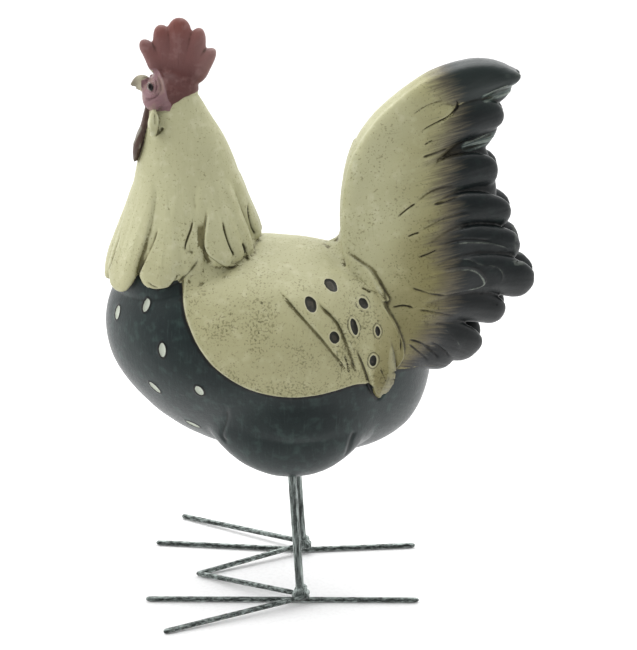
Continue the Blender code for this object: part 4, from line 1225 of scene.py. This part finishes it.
def outer_toe(side):
    reach = (-OUTER_TOE_AHEAD, side * OUTER_TOE_SPLAY[side], 0)
    ahead = unit(reach)
    beside = np.array((abs(ahead[1]), side * abs(ahead[0]), 0))
    root = ankle(side, 3 * WIRE_RADIUS + CLEARANCE)
    root += beside * (ROD_RADIUS + WIRE_RADIUS + CLEARANCE) - ahead * 2 * WIRE_RADIUS
    return [root, ankle(side, WIRE_RADIUS) + reach]


def inner_toes():
    tip = np.array((ANKLE_X - INNER_TOES_AHEAD, 0, WIRE_RADIUS))
    arms = []
    for side in (-1, 1):
        foot = ankle(side, 3 * WIRE_RADIUS + CLEARANCE)
        out = unit(tip - foot)
        arms.append((foot + out * (ROD_RADIUS + WIRE_RADIUS), tip - out * 4.0))
    return [arms[0][0], arms[0][1], tip, arms[1][1], arms[1][0]]


def fit(piece, finish, slot, *nodes):
    piece.data.materials.clear()
    piece.data.materials.append(finish)
    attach(piece, "root")
    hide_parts(*nodes)


def make_legs():
    # Millimetres across and along the streaks: a rod stands up, and a toe runs mostly along X.
    rod_steel = worn_steel("heat_blackened_steel_rod", (1000 / 1.1, 1000 / 1.1, 1000 / 12), 0.06)
    toe_steel = worn_steel("heat_blackened_steel_wire", (1000 / 4, 1000 / 2, 1000 / 1.2), 0.02)
    for name, side in (("left", -1), ("right", 1)):
        skin = fused(name + "_rod_and_weld", (rod_forms(side),), 0.45, 2)
        places, normals = read_skin(skin)
        weld = fade(places[:, 2], 9, 14)
        bumps = weld * 0.35 * rough_noise(places, 2.2, 1.7)
        bumps += 0.06 * np.minimum(rough_noise(places, 3, 8.8), 0)
        write_skin(skin, places + normals * bumps[:, None])
        shade_round(skin)
        fit(put(name + "_rod_and_weld", skin), rod_steel, "leg_steel", name + "_leg")
        fit(toe_wire(name + "_long_wire", long_toe(side)), toe_steel, "leg_steel", name + "_long_toe")
        fit(toe_wire(name + "_outer_wire", outer_toe(side)), toe_steel, "leg_steel", name + "_outer_toe")
    fit(toe_wire("inner_wire", inner_toes()), toe_steel, "leg_steel", "inner_toes")


# The studio, in metres: each lamp's name, place, size and power.
FLOOR_RADIUS = 4.0
LAMPS = [("top_softbox", (0.1, 0.3, 1.5), 1.2, 9.0), ("left_softbox", (-1.3, -0.3, 0.9), 0.9, 8.0)]
LAMPS_AIM = Vector((0, 0, 0.18))


def make_studio():
    bm = bmesh.new()
    bmesh.ops.create_circle(bm, cap_ends=True, segments=96, radius=FLOOR_RADIUS)
    floor = put("paper_floor", mesh_of("paper_floor", bm))
    # Matt white paper: even and without gloss, with a faint tooth of 2.5 mm.
    paper, tree, shader = new_material("matt_white_paper")
    tooth = cloudy(tree, node(tree, "TexCoord").outputs["Object"], 2.5)
    feed(tree, shader, {"Base Color": coat(tree, "#fbfbfb", "#f6f6f6", tooth, 0.4, 0.7)})
    shader.inputs["Roughness"].default_value = 0.9
    floor.data.materials.append(paper)
    # The dark paint mirrors the room, not the paper.
    floor.visible_glossy = False
    world = bpy.data.worlds.new("white_room")
    world.use_nodes = True
    # The room is white all round and darker on the camera's side.
    room = world.node_tree
    parted = node(room, "SeparateXYZ", {0: node(room, "TexCoord").outputs["Generated"]})
    under = maths(room, "MINIMUM", parted.outputs[2], 0.0)
    away = maths(room, "MULTIPLY_ADD", under, -0.4, parted.outputs[1])
    feed(room, room.nodes["Background"], {"Strength": graded(room, away, -0.85, 0.2, 0.24, 1.6)})
    room.nodes["Background"].inputs["Color"].default_value = (1, 1, 1, 1)
    scene.world = world
    for name, place, size, power in LAMPS:
        lamp = bpy.data.lights.new(name, "AREA")
        lamp.shape = "SQUARE"
        lamp.size = size
        lamp.energy = power
        held = put(name, lamp)
        held.location = place
        held.visible_glossy = name == "top_softbox"
        held.rotation_euler = (Vector(place) - LAMPS_AIM).to_track_quat("Z", "Y").to_euler()
    scene.view_settings.view_transform = "Standard"


fit(carve_casting(), painted_resin(), "painted_resin", "resin_rooster")
make_legs()
make_studio()
